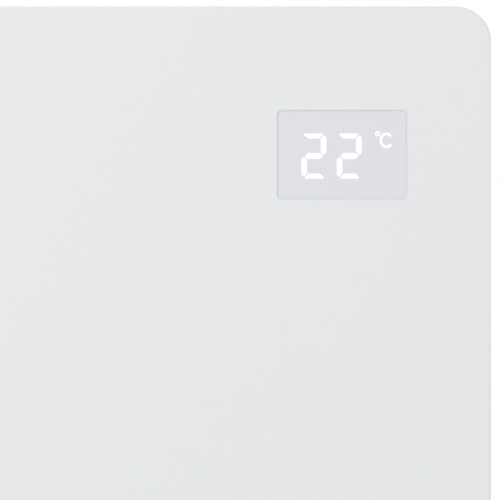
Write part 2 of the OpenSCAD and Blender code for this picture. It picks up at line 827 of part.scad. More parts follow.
module key_bezel() color("gainsboro") place() on_side(0, key_y, key_z) difference() {
    union() {
        translate([0, 0, side_x]) slab(bezel_w, bezel_l, bezel_t, 4, bezel_t / 2);
        translate([0, 0, bezel_back]) linear_extrude(side_x - bezel_back + bezel_t / 2)
            square([bezel_neck_w, bezel_neck_l], center = true);
        for (s = [-1, 1]) translate([0, s * key_post_y, key_board_x + circuit_t])
            cylinder(h = side_x - key_board_x - circuit_t, r = key_post_r);
    }
    for (i = [-1 : 1]) translate([0, i * key_pitch, bezel_back - cut])
        cylinder(h = side_x + bezel_t - bezel_back + 2 * cut, r = key_r + slack);
    for (s = [-1, 1]) translate([0, s * key_post_y, key_board_x])
        cylinder(h = small_shank_l + post_bottom, r = small_shank_r + snug);
}

// The key's top ring lies behind the bezel, and its stem rests on the switch's plunger
module key(i) color("whitesmoke") place() on_side(0, key_y + i * key_pitch, key_z) {
    back = bezel_back - 1;
    translate([0, 0, back]) rotate_extrude() slab_half(key_r, side_x + key_out - back, key_edge_r);
    translate([0, 0, back - slack]) cylinder(h = 1, r = key_r + key_flange);
    translate([0, 0, key_board_x + circuit_t + tact_tip])
        cylinder(h = back - key_board_x - circuit_t - tact_tip, r = stem_r);
}

module plunger(i) color("dimgray") place()
    on_side(key_board_x + circuit_t + tact_tip - plunger_l, key_y + i * key_pitch, key_z)
        cylinder(h = plunger_l, r = plunger_r);

module key_switches() color("black") place() for (i = [-1 : 1])
    on_side(key_board_x + circuit_t, key_y + i * key_pitch, key_z) difference() {
        translate([-tact_w / 2, -tact_w / 2, 0]) cube([tact_w, tact_w, tact_h]);
        translate([0, 0, tact_floor]) cylinder(h = tact_h, r = plunger_r + slack);
    }

module key_board() color("seagreen") place() on_side(key_board_x, key_y, key_z) difference() {
    linear_extrude(circuit_t) square([bezel_w - bezel_lip, bezel_neck_l], center = true);
    for (s = [-1, 1]) translate([0, s * key_post_y, 0]) pierced(small_shank_r + slack);
}

module switch_housing() color("black") place() on_side(side_x, switch_y, switch_z) difference() {
    union() {
        slab(switch_w + 2 * switch_lip, switch_l + 2 * switch_lip, switch_lip_t, 1.8, 0.8);
        translate([-switch_w / 2, -switch_l / 2, -switch_depth])
            cube([switch_w, switch_l, switch_depth + switch_lip_t / 2]);
    }
    translate([0, 0, (switch_lip_t + cut - switch_bottom) / 2])
        cube([rocker_w + rocker_gap, 2 * (rocker_r + rocker_gap), switch_bottom + switch_lip_t + cut],
            center = true);
    translate([0, 0, pivot_x - side_x]) rotate([0, 90, 0])
        cylinder(h = switch_w - 0.6, r = rocker_pin_r + snug, center = true);
}

// Rocker at rest, with its upper end pressed in
module switch_rocker() color("black") place()
    translate([pivot_x, switch_y, switch_z]) rotate(rocker_turn / 2) {
        reach = 1.5 * rocker_r;
        high = rocker_rise + reach * tan(rocker_turn / 2);
        linear_extrude(rocker_w, center = true) intersection() {
            circle(rocker_r);
            polygon([[-rocker_back, -reach], [high, -reach], [rocker_rise, 0], [high, reach],
                [-rocker_back, reach]]);
        }
        cylinder(h = switch_w - 1, r = rocker_pin_r, center = true);
    }

module switch_tabs() color("silver") place() for (i = [-1 : 1])
    translate([switch_end, switch_y + switch_tab_pitch * i - tab_t / 2, switch_z - small_tab_w / 2])
        cube([switch_tab_l, tab_t, small_tab_w]);

// Height of pass i of the element
function pass_y(i) = (i - (rows - 1) / 2) * pass_pitch;

// Half-circle bend of the element, opening towards -x
module tube_bend(i) translate([0, (pass_y(i) + pass_y(i + 1)) / 2, 0]) rotate(-90)
    rotate_extrude(angle = 180) translate([pass_pitch / 2, 0]) circle(tube_r);

// Sheathed element: straight passes joined by half-circle bends, with both ends on the right
module heating_element() color("slategray") place() translate([core_x, 0, tube_z]) {
    for (i = [0 : rows - 1]) translate([0, pass_y(i), 0]) rotate([0, 90, 0])
        cylinder(h = core_w, r = tube_r, center = true);
    for (i = [0 : 2 : rows - 2]) mirror([1, 0, 0]) translate([core_w / 2, 0, 0]) tube_bend(i);
    for (i = [1 : 2 : rows - 2]) translate([core_w / 2, 0, 0]) tube_bend(i);
    for (s = [-1, 1]) translate([core_w / 2, s * pin_y, 0]) rotate([0, 90, 0])
        cylinder(h = bush_start - core_x - core_w / 2, r = tube_r);
}

module brick_layer(z) for (x = strap_xs(), i = [0 : rows - 1]) translate([x, pass_y(i), 0])
    difference() {
        translate([-brick_w / 2, (brick_gap - pass_pitch) / 2, z])
            cube([brick_w, pass_pitch - brick_gap, brick_t]);
        translate([0, 0, tube_z]) rotate([0, 90, 0])
            cylinder(h = brick_w + 2 * cut, r = tube_r + groove_gap, center = true);
    }

module front_bricks() color("tan") place() brick_layer(tube_z);
module rear_bricks() color("tan") place() brick_layer(rear_z);

module element_bushes() color("ivory") place() for (s = [-1, 1]) on_side(bush_start, s * pin_y, tube_z)
    difference() {
        union() {
            cylinder(h = bush_l, r = bush_r);
            translate([0, 0, hot_x - bush_start - collar_t]) cylinder(h = collar_t, r = collar_r);
        }
        translate([0, 0, -cut]) cylinder(h = bush_l + 2 * cut, r = pin_r + slack);
    }

module element_pins() color("silver") place() for (s = [-1, 1])
    translate([bush_start, s * pin_y, tube_z]) {
        rotate([0, 90, 0]) cylinder(h = bush_l + 1, r = pin_r);
        translate([bush_l, -tab_w / 2, -tab_t / 2]) cube([tab_l, tab_w, tab_t]);
    }

// Strap from the frame's bottom flange, behind the bricks, to its top flange
module core_straps() color("silver") place() for (x = strap_xs()) difference() {
    translate([x - strap_w / 2, 0, 0]) rotate([90, 0, 90]) linear_extrude(strap_w)
        for (s = [0, 1]) mirror([s, 0]) translate([0, rear_z - strap_t]) {
            square([strap_leg_y, strap_t]);
            translate([strap_leg_y - strap_t, 0]) square([strap_t, flange_z - rear_z + strap_t]);
            translate([strap_leg_y - strap_t, flange_z - rear_z])
                square([strap_foot + strap_t, strap_t]);
        }
    for (s = [-1, 1]) translate([x, s * flange_rivet_y, flange_z]) pierced(rivet_r + snug);
}

module flange_rivets() color("silver") place() for (x = flange_rivet_xs(), s = [-1, 1])
    translate([x, s * flange_rivet_y, flange_z - strap_t]) {
        cylinder(h = strap_t + frame_t, r = rivet_r);
        translate([0, 0, -rivet_head_h]) cylinder(h = rivet_head_h, r = rivet_head_r);
    }

// Insulating board and reflector between the core and the casing's back
module liner(grow) difference() {
    translate([core_x, 0]) square([liner_w + 2 * grow, liner_h + 2 * grow], center = true);
    translate([core_x, 0]) for (x = [-1, 1], y = [-1, 1])
        translate([x * liner_rivet_x, y * liner_rivet_y]) circle(rivet_r + snug);
}

module insulation_board() color("beige") place() translate([0, 0, floor_z])
    linear_extrude(board_t) difference() {
        liner(0);
        translate([-hook_x, arm_top]) square([hook_w + 8, 2 * (lift + 6)], center = true);
        translate([-buffer_x, -buffer_y]) circle(buffer_barb_r + 2);
    }

module reflector() color("silver") place() translate([0, 0, liner_z])
    linear_extrude(reflector_t) liner(1);

module reflector_rivets() color("gray") place() translate([core_x, 0, 0])
    corners(2 * liner_rivet_x, 2 * liner_rivet_y) {
        translate([0, 0, back_z]) cylinder(h = liner_z + reflector_t - back_z, r = rivet_r);
        translate([0, 0, liner_z + reflector_t]) cylinder(h = rivet_head_h, r = washer_r);
        translate([0, 0, back_z - rivet_head_h]) cylinder(h = rivet_head_h, r = rivet_head_r);
    }

module partition() color("silver") place() difference() {
    union() {
        translate([hot_x, 4 - in_y, floor_z + 2 * slack])
            cube([strap_t, 2 * in_y - 8, flange_z - floor_z - 2 * slack]);
        for (s = [-1, 1]) translate([
            hot_x + partition_foot / 2, s * (strap_leg_y + strap_end_y) / 2, flange_z - strap_t / 2])
            cube([partition_foot, strap_foot, strap_t], center = true);
    }
    for (s = [-1, 1]) {
        on_side(hot_x, s * pin_y, tube_z) pierced(bush_r + slack);
        translate([partition_rivet_x, s * flange_rivet_y, flange_z]) pierced(rivet_r + snug);
    }
    on_side(hot_x, cutout_y, cutout_z) pierced(cutout_r + slack);
}

module thermal_cutout() color("dimgray") place() on_side(hot_x - 1, cutout_y, cutout_z) {
    cylinder(h = cutout_h, r = cutout_r);
    translate([0, 0, strap_t + 1]) linear_extrude(1) difference() {
        round_rect(1.5 * cutout_r, 2 * cutout_ear, 4);
        for (s = [-1, 1]) translate([0, s * (cutout_ear - 4)]) circle(1.6);
    }
    for (s = [-1, 1]) translate([0, s * cutout_pitch / 2, cutout_h + (cutout_tab_l - cut) / 2])
        cube([small_tab_w, tab_t, cutout_tab_l + cut], center = true);
}

module at_circuit_screws(z) translate([circuit_x, circuit_y, z])
    corners(circuit_w - 2 * circuit_screw, circuit_h - 2 * circuit_screw) children();

module power_board() color("darkgreen") place() difference() {
    translate([circuit_x, circuit_y, circuit_z]) linear_extrude(circuit_t)
        square([circuit_w, circuit_h], center = true);
    at_circuit_screws(circuit_z) pierced(small_shank_r + slack);
}

module board_standoffs() color("silver") place() difference() {
    union() {
        at_circuit_screws(floor_z) cylinder(h = standoff_h, r = standoff_r, $fn = 6);
        at_circuit_screws(back_z) cylinder(h = sheet_t + cut, r = clinch_r);
    }
    at_circuit_screws(circuit_z) pierced(small_shank_r + snug);
}

module board_screws() color("silver") place() {
    at_circuit_screws(parts_z) screw(small_head_r, small_head_h, small_shank_r, small_shank_l);
    translate([window_x, window_y, module_z - circuit_t]) at_carrier_screws()
        rotate([180, 0, 0]) screw(small_head_r, small_head_h, small_shank_r, small_shank_l);
    for (s = [-1, 1]) on_side(key_board_x, key_y + s * key_post_y, key_z)
        rotate([180, 0, 0]) screw(small_head_r, small_head_h, small_shank_r, small_shank_l);
}

module component(size, h) slab(size[0], size[1], h, 1.5, 0.7);

module supply_module() color("black") on_board(supply_at) component(supply_size, supply_h);
module relays() color("royalblue") for (at = relays_at) on_board(at) component(relay_size, relay_h);
module filter_capacitor() color("gold") on_board(capacitor_at) component(capacitor_size, capacitor_h);

// Glass tube fuse in two clips
module fuse() color("lightgray") on_board(fuse_at) translate([0, 0, fuse_r + 1.6]) rotate([90, 0, 0]) {
    cylinder(h = fuse_l - 4, r = fuse_r, center = true);
    for (s = [-1, 1]) translate([0, 0, s * (fuse_l / 2 - 2.5)]) {
        cylinder(h = 5, r = fuse_r + 0.3, center = true);
        translate([0, -(fuse_r + 1.6) / 2, 0]) cube([3, fuse_r + 1.6, 2], center = true);
    }
}

module terminal_block() color("darkseagreen") on_board(terminal_at) difference() {
    component(terminal_size, terminal_h);
    for (i = [-1 : 1]) translate([terminal_pitch * i, 0, 0]) {
        translate([0, -terminal_size[1] / 2, terminal_wire_z]) rotate([90, 0, 0])
            cylinder(h = 18, r = terminal_hole_r, center = true);
        translate([0, 0, terminal_h - 5]) cylinder(h = 6, r = 2.2);
    }
}

module room_sensor() color("black") place() on_side(sensor_x, sensor_y, sensor_z)
    cylinder(h = sensor_l, r = sensor_r, center = true);

module sensor_clip() color("white") place() translate([sensor_x, sensor_y, 0]) difference() {
    union() {
        translate([0, 0, floor_z + clip_base[2] / 2]) cube(clip_base, center = true);
        translate([0, 0, (floor_z + sensor_z) / 2])
            cube([clip_w, 8, sensor_z - floor_z], center = true);
        on_side(0, 0, sensor_z) cylinder(h = clip_w, r = sensor_r + clip_wall, center = true);
    }
    on_side(0, 0, sensor_z) cylinder(h = 2 * clip_w, r = sensor_r + slack, center = true);
}

// Push-on connector in its insulating sleeve, with the tab's tip at x = 0 and its wire beyond
module sleeve(w) difference() {
    union() {
        translate([-sleeve_over, 0, 0]) rotate([90, 0, 90]) linear_extrude(sleeve_over + sleeve_nose)
            round_rect(w + 2 * sleeve_side, sleeve_t, sleeve_r);
        on_side(sleeve_nose - cut, 0, 0) cylinder(h = barrel_l + cut, r = barrel_r);
    }
    translate([-sleeve_over - cut, -w / 2 - slack, -tab_t / 2 - snug])
        cube([sleeve_over + cut, w + 2 * slack, tab_t + 2 * snug]);
}

module tab_sleeves() color("firebrick") place() {
    for (s = [-1, 1]) {
        translate([tab_end, s * pin_y, tube_z]) sleeve(tab_w);
        translate([cutout_end, cutout_y + s * cutout_pitch / 2, cutout_z])
            rotate([90, 0, 0]) sleeve(small_tab_w);
        translate([switch_end, switch_y + s * switch_tab_pitch, switch_z])
            rotate([90, 0, 180]) sleeve(small_tab_w);
    }
}

module element_leads() color("firebrick") place() {
    // Lower end of the element to the power board
    wire([
        [pin_wire_x, -pin_y, tube_z], [pin_wire_x + lead_straight, -pin_y, tube_z],
        [pin_wire_x + lead_bend + 1, pin_pad_y + 3, tube_z - lead_bend],
        [pin_wire_x + lead_bend / 2, pin_pad_y, tube_z - 2 * lead_bend],
        [pin_wire_x, pin_pad_y, parts_z + lead_drop], [pin_wire_x, pin_pad_y, parts_z]
    ], wire_r, [0.2, 1, 0.1]);
    // Upper end of the element to the thermal cut-out
    wire([
        [pin_wire_x, pin_y, tube_z], [pin_wire_x + lead_straight, pin_y, tube_z],
        [pin_wire_x + 1.5 * lead_bend, pin_y + lead_bend, tube_z - lead_bend / 2],
        [pin_wire_x + 1.5 * lead_bend, (pin_y + cutout_y) / 2, cutout_z + lead_bend],
        [cutout_wire_x + 1.5 * lead_bend, cutout_y - lead_bend, cutout_z],
        [cutout_wire_x + lead_straight, cutout_y - cutout_pitch / 2, cutout_z],
        [cutout_wire_x, cutout_y - cutout_pitch / 2, cutout_z]
    ], wire_r, [0.1, 0.2, 1]);
    // Thermal cut-out to the power board
    wire([
        [cutout_wire_x, cutout_y + cutout_pitch / 2, cutout_z],
        [cutout_wire_x + lead_straight, cutout_y + cutout_pitch / 2, cutout_z],
        [cutout_wire_x + 1.5 * lead_bend, cutout_y + 3, cutout_z - lead_bend],
        [cutout_wire_x + lead_bend, cutout_y - 3 * lead_bend, cutout_z - 1.5 * lead_bend],
        [bay_lead_x + 4, 0.75 * cutout_y + 0.25 * circuit_top, bay_lead_z],
        [bay_lead_x, (cutout_y + circuit_top) / 2, bay_lead_z],
        [bay_lead_x, circuit_top + 4 * lead_bend, bay_lead_z],
        [bay_lead_x + 2, circuit_top - board_edge / 3, parts_z + lead_bend],
        [bay_lead_x + 3, circuit_top - board_edge, parts_z + lead_drop],
        [bay_lead_x + 3, circuit_top - board_edge, parts_z]
    ], wire_r, [1, 0.1, 0.2]);
}

module switch_leads() color("saddlebrown") place() for (s = [-1, 1]) wire([
    [switch_wire_x, switch_y + switch_tab_pitch * s, switch_z],
    [switch_wire_x - lead_bend / 2, switch_y + switch_tab_pitch * s, switch_z],
    [switch_wire_x - 1.25 * lead_bend, switch_y + 8 * s, switch_z],
    [switch_wire_x - 2 * lead_bend, switch_y + 10 * s, parts_z + lead_drop],
    [switch_wire_x - 2 * lead_bend, switch_y + 10 * s, parts_z]
], wire_r - 0.2, [0, 1, 0.1]);

module display_ribbon() color("lightgray") place() ribbon([
    [ribbon_x, window_y - 18, module_z - circuit_t],
    [ribbon_x, window_y - 18, module_z - circuit_t - 6],
    [ribbon_x, window_y - 30, module_z - circuit_t - 13],
    [ribbon_x, 0.6 * window_y + 0.4 * circuit_top, ribbon_z],
    [ribbon_x, 0.2 * window_y + 0.8 * circuit_top, ribbon_z],
    [ribbon_x, circuit_top - 2, parts_z + 12], [ribbon_x, circuit_top - board_edge, parts_z + 6],
    [ribbon_x, circuit_top - board_edge, parts_z]
], ribbon_w, ribbon_t);

module earth_stud() color("silver") place() translate([stud_x, stud_y, floor_z]) {
    cylinder(h = stud_l, r = stud_r);
    cylinder(h = stud_foot_t, r = stud_foot_r);
    translate([0, 0, stud_foot_t + tag_t]) cylinder(h = stud_nut_t, r = 2 * stud_r, $fn = 6);
}

// Ring tag under the nut, crimped on the lead
module earth_tag() color("silver") place() translate([stud_x, stud_y, floor_z + stud_foot_t])
    difference() {
        union() {
            cylinder(h = tag_t, r = 2 * stud_r);
            translate([0, -barrel_r, 0]) cube([tag_l, 2 * barrel_r, tag_t]);
            on_side(tag_l - barrel_l, 0, barrel_r) cylinder(h = barrel_l, r = barrel_r);
        }
        pierced(stud_r + snug);
    }

module earth_lead() color("yellowgreen") place() {
    hole_x = circuit_x + terminal_at[0] - terminal_pitch;
    hole_y = circuit_y + terminal_at[1];
    start_z = floor_z + stud_foot_t + barrel_r;
    wire([
        [stud_x + tag_l, stud_y, start_z], [stud_x + tag_l + lead_bend / 2, stud_y, start_z],
        [hole_x - lead_bend, stud_y, floor_z + wire_r + 2],
        [hole_x, stud_y + lead_bend, parts_z],
        [hole_x, hole_y - terminal_size[1] / 2 - 3, parts_z + terminal_wire_z],
        [hole_x, hole_y - 2, parts_z + terminal_wire_z]
    ], wire_r, [0.6, -0.6, 1]);
}

// Cord inlet, drawn with z down out of the casing's bottom
module cord_bush() color("white") place() translate([inlet_x, -case_h / 2, inlet_z])
    rotate([90, 0, 0]) difference() {
        union() {
            rotate_extrude() slab_half(bush_flange_r, bush_flange_t, 0.8);
            cylinder(h = bush_flange_t + bush_snout, r1 = bush_body_r + 0.6, r2 = bush_body_r - 1.4);
            translate([0, 0, -bush_in]) cylinder(h = bush_in + cut, r = bush_body_r);
        }
        translate([0, 0, -bush_in - cut])
            cylinder(h = bush_in + bush_flange_t + bush_snout + 2 * cut, r = cord_hole_r);
    }

module bush_nut() color("white") place() translate([inlet_x, -in_y, inlet_z])
    rotate([-90, 0, 0]) difference() {
        cylinder(h = nut_t, r = bush_flange_r + 1, $fn = 6);
        translate([0, 0, -cut]) cylinder(h = nut_t + 2 * cut, r = bush_body_r + snug);
    }

// Hooks lanced out of the sheet leave a window above each arm
module bracket_sheet() difference() {
    round_rect(bracket_w, bracket_h, bracket_r);
    corners(screw_dx, screw_dy) circle(screw_r);
    for (s = [-1, 1]) {
        translate([s * hook_x, arm_top - rail_y + (hook_tip + tip_z) / 2])
            square([hook_w + hook_window, hook_tip + tip_z], center = true);
        translate([s * screw_dx / 4, 0]) slot(bracket_slot[0], bracket_slot[1]);
    }
}

module wall_bracket() color("silver") place() translate([0, rail_y, 0]) {
    linear_extrude(bracket_t) bracket_sheet();
    for (s = [-1, 1]) translate([0, s * (bracket_h - bracket_t) / 2, bracket_fold / 2])
        cube([bracket_w - 4 * bracket_r, bracket_t, bracket_fold], center = true);
    for (s = [-1, 1]) translate([s * hook_x - hook_w / 2, arm_top - rail_y - bracket_t, 0]) {
        cube([hook_w, bracket_t, tip_z + bracket_t]);
        translate([0, 0, tip_z]) cube([hook_w, hook_tip + bracket_t, bracket_t]);
    }
}

module wall_buffers() color("dimgray") place() for (s = [-1, 1])
    translate([s * buffer_x, -buffer_y, 0]) {
        cylinder(h = back_z, r1 = buffer_r - 2, r2 = buffer_r);
        cylinder(h = floor_z + cut, r = buffer_stem_r);
        translate([0, 0, floor_z])
            cylinder(h = buffer_barb_h, r1 = buffer_barb_r, r2 = buffer_stem_r - 1);
    }

front_plate();
plate_seal();
inner_frame();
rear_cover();
outlet_grille();
casing_screws();
display_lens();
led_module();
segment_guides();
display_carrier();
display_board();
key_bezel();
key(1);  // key_plus
key(0);  // key_mode
key(-1);  // key_minus
plunger(1);  // plunger_plus
plunger(0);  // plunger_mode
plunger(-1);  // plunger_minus
key_switches();
key_board();
switch_housing();
switch_rocker();
switch_tabs();
front_bricks();
rear_bricks();
heating_element();
element_bushes();
element_pins();
core_straps();
flange_rivets();
insulation_board();
reflector();
reflector_rivets();
partition();
thermal_cutout();
power_board();
board_standoffs();
board_screws();
supply_module();
relays();
filter_capacitor();
fuse();
terminal_block();
room_sensor();
sensor_clip();
tab_sleeves();
element_leads();
switch_leads();
display_ribbon();
earth_stud();
earth_tag();
earth_lead();
cord_bush();
bush_nut();
wall_bracket();
wall_buffers();
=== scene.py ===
# %% [markdown]
# # A ceramic wall heater, dressed for its picture
# The heater's solids come from a CAD model. Blender's part
# is the looks: finishes for every solid, the small things that are printed or lit, and the
# light. The first cell loads the solids as a fixed frame, and nothing after it moves them.

# %% Load the solids
import math

import bmesh
import bpy
from mathutils import Matrix, Vector
from mathutils.bvhtree import BVHTree


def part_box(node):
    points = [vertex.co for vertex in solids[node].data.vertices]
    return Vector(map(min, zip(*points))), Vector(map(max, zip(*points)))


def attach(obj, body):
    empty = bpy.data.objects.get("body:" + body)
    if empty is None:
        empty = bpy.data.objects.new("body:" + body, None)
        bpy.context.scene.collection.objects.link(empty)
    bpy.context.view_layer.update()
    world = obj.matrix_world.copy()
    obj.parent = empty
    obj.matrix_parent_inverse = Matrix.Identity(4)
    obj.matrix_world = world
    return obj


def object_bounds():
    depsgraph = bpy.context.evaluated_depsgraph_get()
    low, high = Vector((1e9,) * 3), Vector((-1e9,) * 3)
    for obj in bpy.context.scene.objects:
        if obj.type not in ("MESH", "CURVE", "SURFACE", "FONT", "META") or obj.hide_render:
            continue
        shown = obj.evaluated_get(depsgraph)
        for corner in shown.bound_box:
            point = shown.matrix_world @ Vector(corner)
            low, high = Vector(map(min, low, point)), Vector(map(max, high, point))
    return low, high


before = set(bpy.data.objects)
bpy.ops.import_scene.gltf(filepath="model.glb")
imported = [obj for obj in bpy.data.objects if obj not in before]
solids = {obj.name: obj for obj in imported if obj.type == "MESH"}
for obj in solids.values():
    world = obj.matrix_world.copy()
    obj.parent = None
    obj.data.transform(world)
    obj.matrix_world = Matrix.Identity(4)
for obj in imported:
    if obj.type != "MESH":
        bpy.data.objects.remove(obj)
cad_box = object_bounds()

# %% [markdown]
# ## Where things are
# The frame's origin is the middle of the bracket's screw holes, on the wall. X runs to the
# right, Z up, and the front faces -Y. A finish or a printed mark has to sit on its solid, so the
# places below are measured from the solids instead of typed in.

# %% Measure the lens, the keys and the switch
MM = 0.001
lens_low, lens_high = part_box("display_lens")
lens_middle = (lens_low + lens_high) / 2
lens_face = lens_low.y
plate_low, plate_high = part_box("front_plate")
print("lens face", round(lens_face / MM, 2), "mm, plate face", round(plate_low.y / MM, 2), "mm")

# %% [markdown]
# ## The camera
# The photograph was taken from far away with a long lens, so its edges run parallel. A 200 mm
# lens does the same here. The picture is 500 pixels wide and one pixel covers 0.44 mm of the
# front plate, and from these the distance follows. The plate's right edge stands at pixel 491.3
# and its top edge at pixel 6.1, which gives the point that the camera looks at. The view
# transform is Standard, because Blender's own choice, AgX, would turn the white plate grey.

# %% Set up the camera
PIXEL = 0.44 * MM
PICTURE = 500
RIGHT_EDGE = 491.3
TOP_EDGE = 6.1
LENS = 200.0
SENSOR = 36.0
CLIP_END = 50.0
aim = Vector((
    plate_high.x - (RIGHT_EDGE - PICTURE / 2) * PIXEL,
    plate_low.y,
    plate_high.z - (PICTURE / 2 - TOP_EDGE) * PIXEL,
))
camera_data = bpy.data.cameras.new("camera")
camera_data.lens = LENS
camera_data.sensor_width = SENSOR
camera_data.clip_end = CLIP_END
camera = bpy.data.objects.new("camera", camera_data)
camera.location = aim - Vector((0, PICTURE * PIXEL * LENS / SENSOR, 0))
camera.rotation_euler = (math.radians(90), 0, 0)
bpy.context.scene.collection.objects.link(camera)
bpy.context.scene.camera = camera
bpy.context.scene.view_settings.view_transform = "Standard"
print("camera at", [round(v, 3) for v in camera.location])

# %% [markdown]
# ## Writing shaders as expressions
# A Blender material is a graph of nodes. Wiring it by hand takes many lines, so one small class
# wraps a node's output. Python's own +, - and * on it add the Math nodes, also where a plain
# number comes first, as in 1 - mask. Every other node comes from a single method that takes the
# node's type, its settings, and the values or links of its sockets.

# %% A signal, and the tree that it lives in
class Signal:
    """An output socket of a node. Maths on it adds Math nodes to its tree."""

    def __init__(self, tree, socket):
        self.tree = tree
        self.socket = socket

    def maths(self, operation, first, second):
        return self.tree.node("ShaderNodeMath", {"operation": operation}, {0: first, 1: second})

    def __add__(self, other):
        return self.maths("ADD", self, other)

    def __sub__(self, other):
        return self.maths("SUBTRACT", self, other)

    def __mul__(self, other):
        return self.maths("MULTIPLY", self, other)

    def __gt__(self, other):
        return self.maths("GREATER_THAN", self, other)

    def __lt__(self, other):
        return self.maths("LESS_THAN", self, other)

    def __rsub__(self, other):
        return self.maths("SUBTRACT", other, self)

    __radd__ = __add__
    __rmul__ = __mul__


class Tree:
    """A node tree, with one way to add any node to it."""

    def __init__(self, node_tree):
        self.tree = node_tree

    def node(self, kind, settings=None, sockets=None, output=0):
        made = self.tree.nodes.new(kind)
        for name, value in (settings or {}).items():
            if name == "stops":
                ramp = made.color_ramp.elements
                while len(ramp) < len(value):
                    ramp.new(1.0)
                for element, (place, shade) in zip(ramp, value):
                    element.position = place
                    element.color = (*shade, 1.0)
            else:
                setattr(made, name, value)
        open_inputs = [s for s in made.inputs if s.enabled]
        for name, value in (sockets or {}).items():
            inputs = made.inputs if isinstance(name, int) else {s.name: s for s in open_inputs}
            if isinstance(value, Signal):
                self.tree.links.new(value.socket, inputs[name])
            else:
                inputs[name].default_value = value
        open_outputs = [s for s in made.outputs if s.enabled]
        found = open_outputs[output] if isinstance(output, int) else made.outputs[output]
        return Signal(self, found)


print("signals and trees are ready")

# %% [markdown]
# ## What every finish starts from
# A finish is a material with one Principled shader, and a class of its own keeps what all of
# them do in one place. What stays the same all over, such as the weight of a coat, is typed into
# the shader's own socket. What varies is driven by noise on Object coordinates, which are metres
# here, so a scale of 500 gives specks of about 2 mm. The patterns then keep their real size on a
# large and on a small piece.

# %% A finish with its patterns
finished = set()


class Finish(Tree):
    """A material: one Principled shader and the patterns that drive it."""

    def __init__(self, name, color, roughness, **fixed):
        self.material = bpy.data.materials.new(name)
        self.material.use_nodes = True
        super().__init__(self.material.node_tree)
        self.shader = self.tree.nodes["Principled BSDF"]
        self.color = color
        self.roughness = roughness
        self.set("Base Color", (*color, 1.0))
        self.set("Roughness", roughness)
        for socket, value in fixed.items():
            self.set(socket.replace("_", " "), value)
        self.place = self.node("ShaderNodeTexCoord", output="Object")

    def set(self, socket, value):
        if isinstance(value, Signal):
            self.tree.links.new(value.socket, self.shader.inputs[socket])
        else:
            self.shader.inputs[socket].default_value = value

    def noise(self, scale, detail=2.0, stretch=None):
        place = self.place
        if stretch:
            place = self.node("ShaderNodeMapping", {}, {"Vector": place, "Scale": stretch})
        return self.node("ShaderNodeTexNoise", {}, {
            "Vector": place, "Scale": scale, "Detail": detail})

    def cells(self, scale, output="Distance"):
        return self.node("ShaderNodeTexVoronoi", {}, {
            "Vector": self.place, "Scale": scale}, output)

    def axis(self, letter):
        return self.node("ShaderNodeSeparateXYZ", {}, {"Vector": self.place}, letter)

    def step(self, value, low, high):
        return self.node("ShaderNodeMapRange", {"clamp": True}, {
            "Value": value, "From Min": low, "From Max": high}, "Result")

    def mix(self, mask, first, second):
        return self.node("ShaderNodeMix", {"data_type": "RGBA"}, {
            "Factor": mask, "A": first, "B": second})

    def shade(self, mask, amount, tint=None):
        """Colour that goes darker, or towards a tint, where the mask is high."""
        other = tint or tuple(c * (1 - amount) for c in self.color)
        self.set("Base Color", self.mix(mask, (*self.color, 1.0), (*other, 1.0)))

    def vary_roughness(self, mask, amount):
        self.set("Roughness", (mask - 0.5) * (2 * amount) + self.roughness)

    def relief(self, height, depth):
        self.set("Normal", self.node("ShaderNodeBump", {}, {"Height": height, "Distance": depth}))

    def on(self, *names):
        for name in names:
            for slot in solids[name].material_slots:
                slot.material = self.material
            finished.add(name)
        print(self.material.name, "on", len(names), "solids")


print("finishes can be made")

# %% [markdown]
# ## The glaze
# The front plate is ceramic under a white glaze. A glaze isn't a mirror: it settles in very
# low waves, gathers a few pin-sized pits, and its sheen changes a little from place to place.
# The waves are two noises of different size that feed a bump. Their depth is a few hundredths of
# a millimetre, because more would read as hammered metal.

# %% Glaze the front plate
glaze = Finish("glaze", (0.774, 0.789, 0.800), 0.34, Coat_Weight=0.25, Coat_Roughness=0.12)
clouds = glaze.noise(9, 3.0)
waves = glaze.noise(55, 2.0)
pits = glaze.step(glaze.cells(260), 0.05, 0.02) * glaze.step(glaze.noise(40, 1.0), 0.58, 0.66)
glaze.shade(clouds, 0.012)
glaze.vary_roughness(glaze.noise(24, 3.0), 0.05)
glaze.relief(waves * 0.6 + clouds * 0.4 - pits * 0.5, 0.04 * MM)
glaze.on("front_plate")

# %% [markdown]
# ## Powder coat
# The casing is steel sheet under baked powder. Up close it has the fine dimples of orange
# peel, about a millimetre across, and a satin sheen. A little dust greys it in broad clouds.

# %% Coat the casing
powder_coat = Finish("powder_coat", (0.70, 0.71, 0.72), 0.42)
dimples = powder_coat.noise(900, 2.0)
dust = powder_coat.noise(7, 4.0)
powder_coat.shade(powder_coat.step(dust, 0.45, 0.75), 0.05)
powder_coat.vary_roughness(dust, 0.06)
powder_coat.relief(dimples, 0.09 * MM)
powder_coat.on("rear_cover")

# %% [markdown]
# ## Zinc
# Galvanised sheet shows spangle: flat crystals, a few millimetres across, that catch the light
# differently. A Voronoi pattern gives each crystal its own random colour value. That value is
# used only as a number, for the shade and the roughness of its crystal.

# %% Galvanise the bracket and the inner sheets
def galvanised(name, color, grain):
    finish = Finish(name, color, 0.38, Metallic=0.9)
    crystals = finish.cells(grain, output="Color")
    crystal = finish.node("ShaderNodeSeparateColor", {}, {"Color": crystals}, "Red")
    finish.shade(crystal * 0.7 + finish.noise(30, 3.0) * 0.3, 0.28)
    finish.vary_roughness(crystal, 0.11)
    finish.relief(finish.noise(500, 2.0), 0.01 * MM)
    return finish


galvanised("spangled_zinc", (0.60, 0.62, 0.64), 140).on("wall_bracket")
galvanised("fine_zinc", (0.63, 0.65, 0.67), 320).on("inner_frame", "core_straps", "partition")

# %% [markdown]
# ## Small steel
# Screws, rivets and posts are bright-plated. Plating is smoother than rolled sheet, and the
# tumbling barrel leaves tiny random scuffs, so the roughness varies on a fine noise.

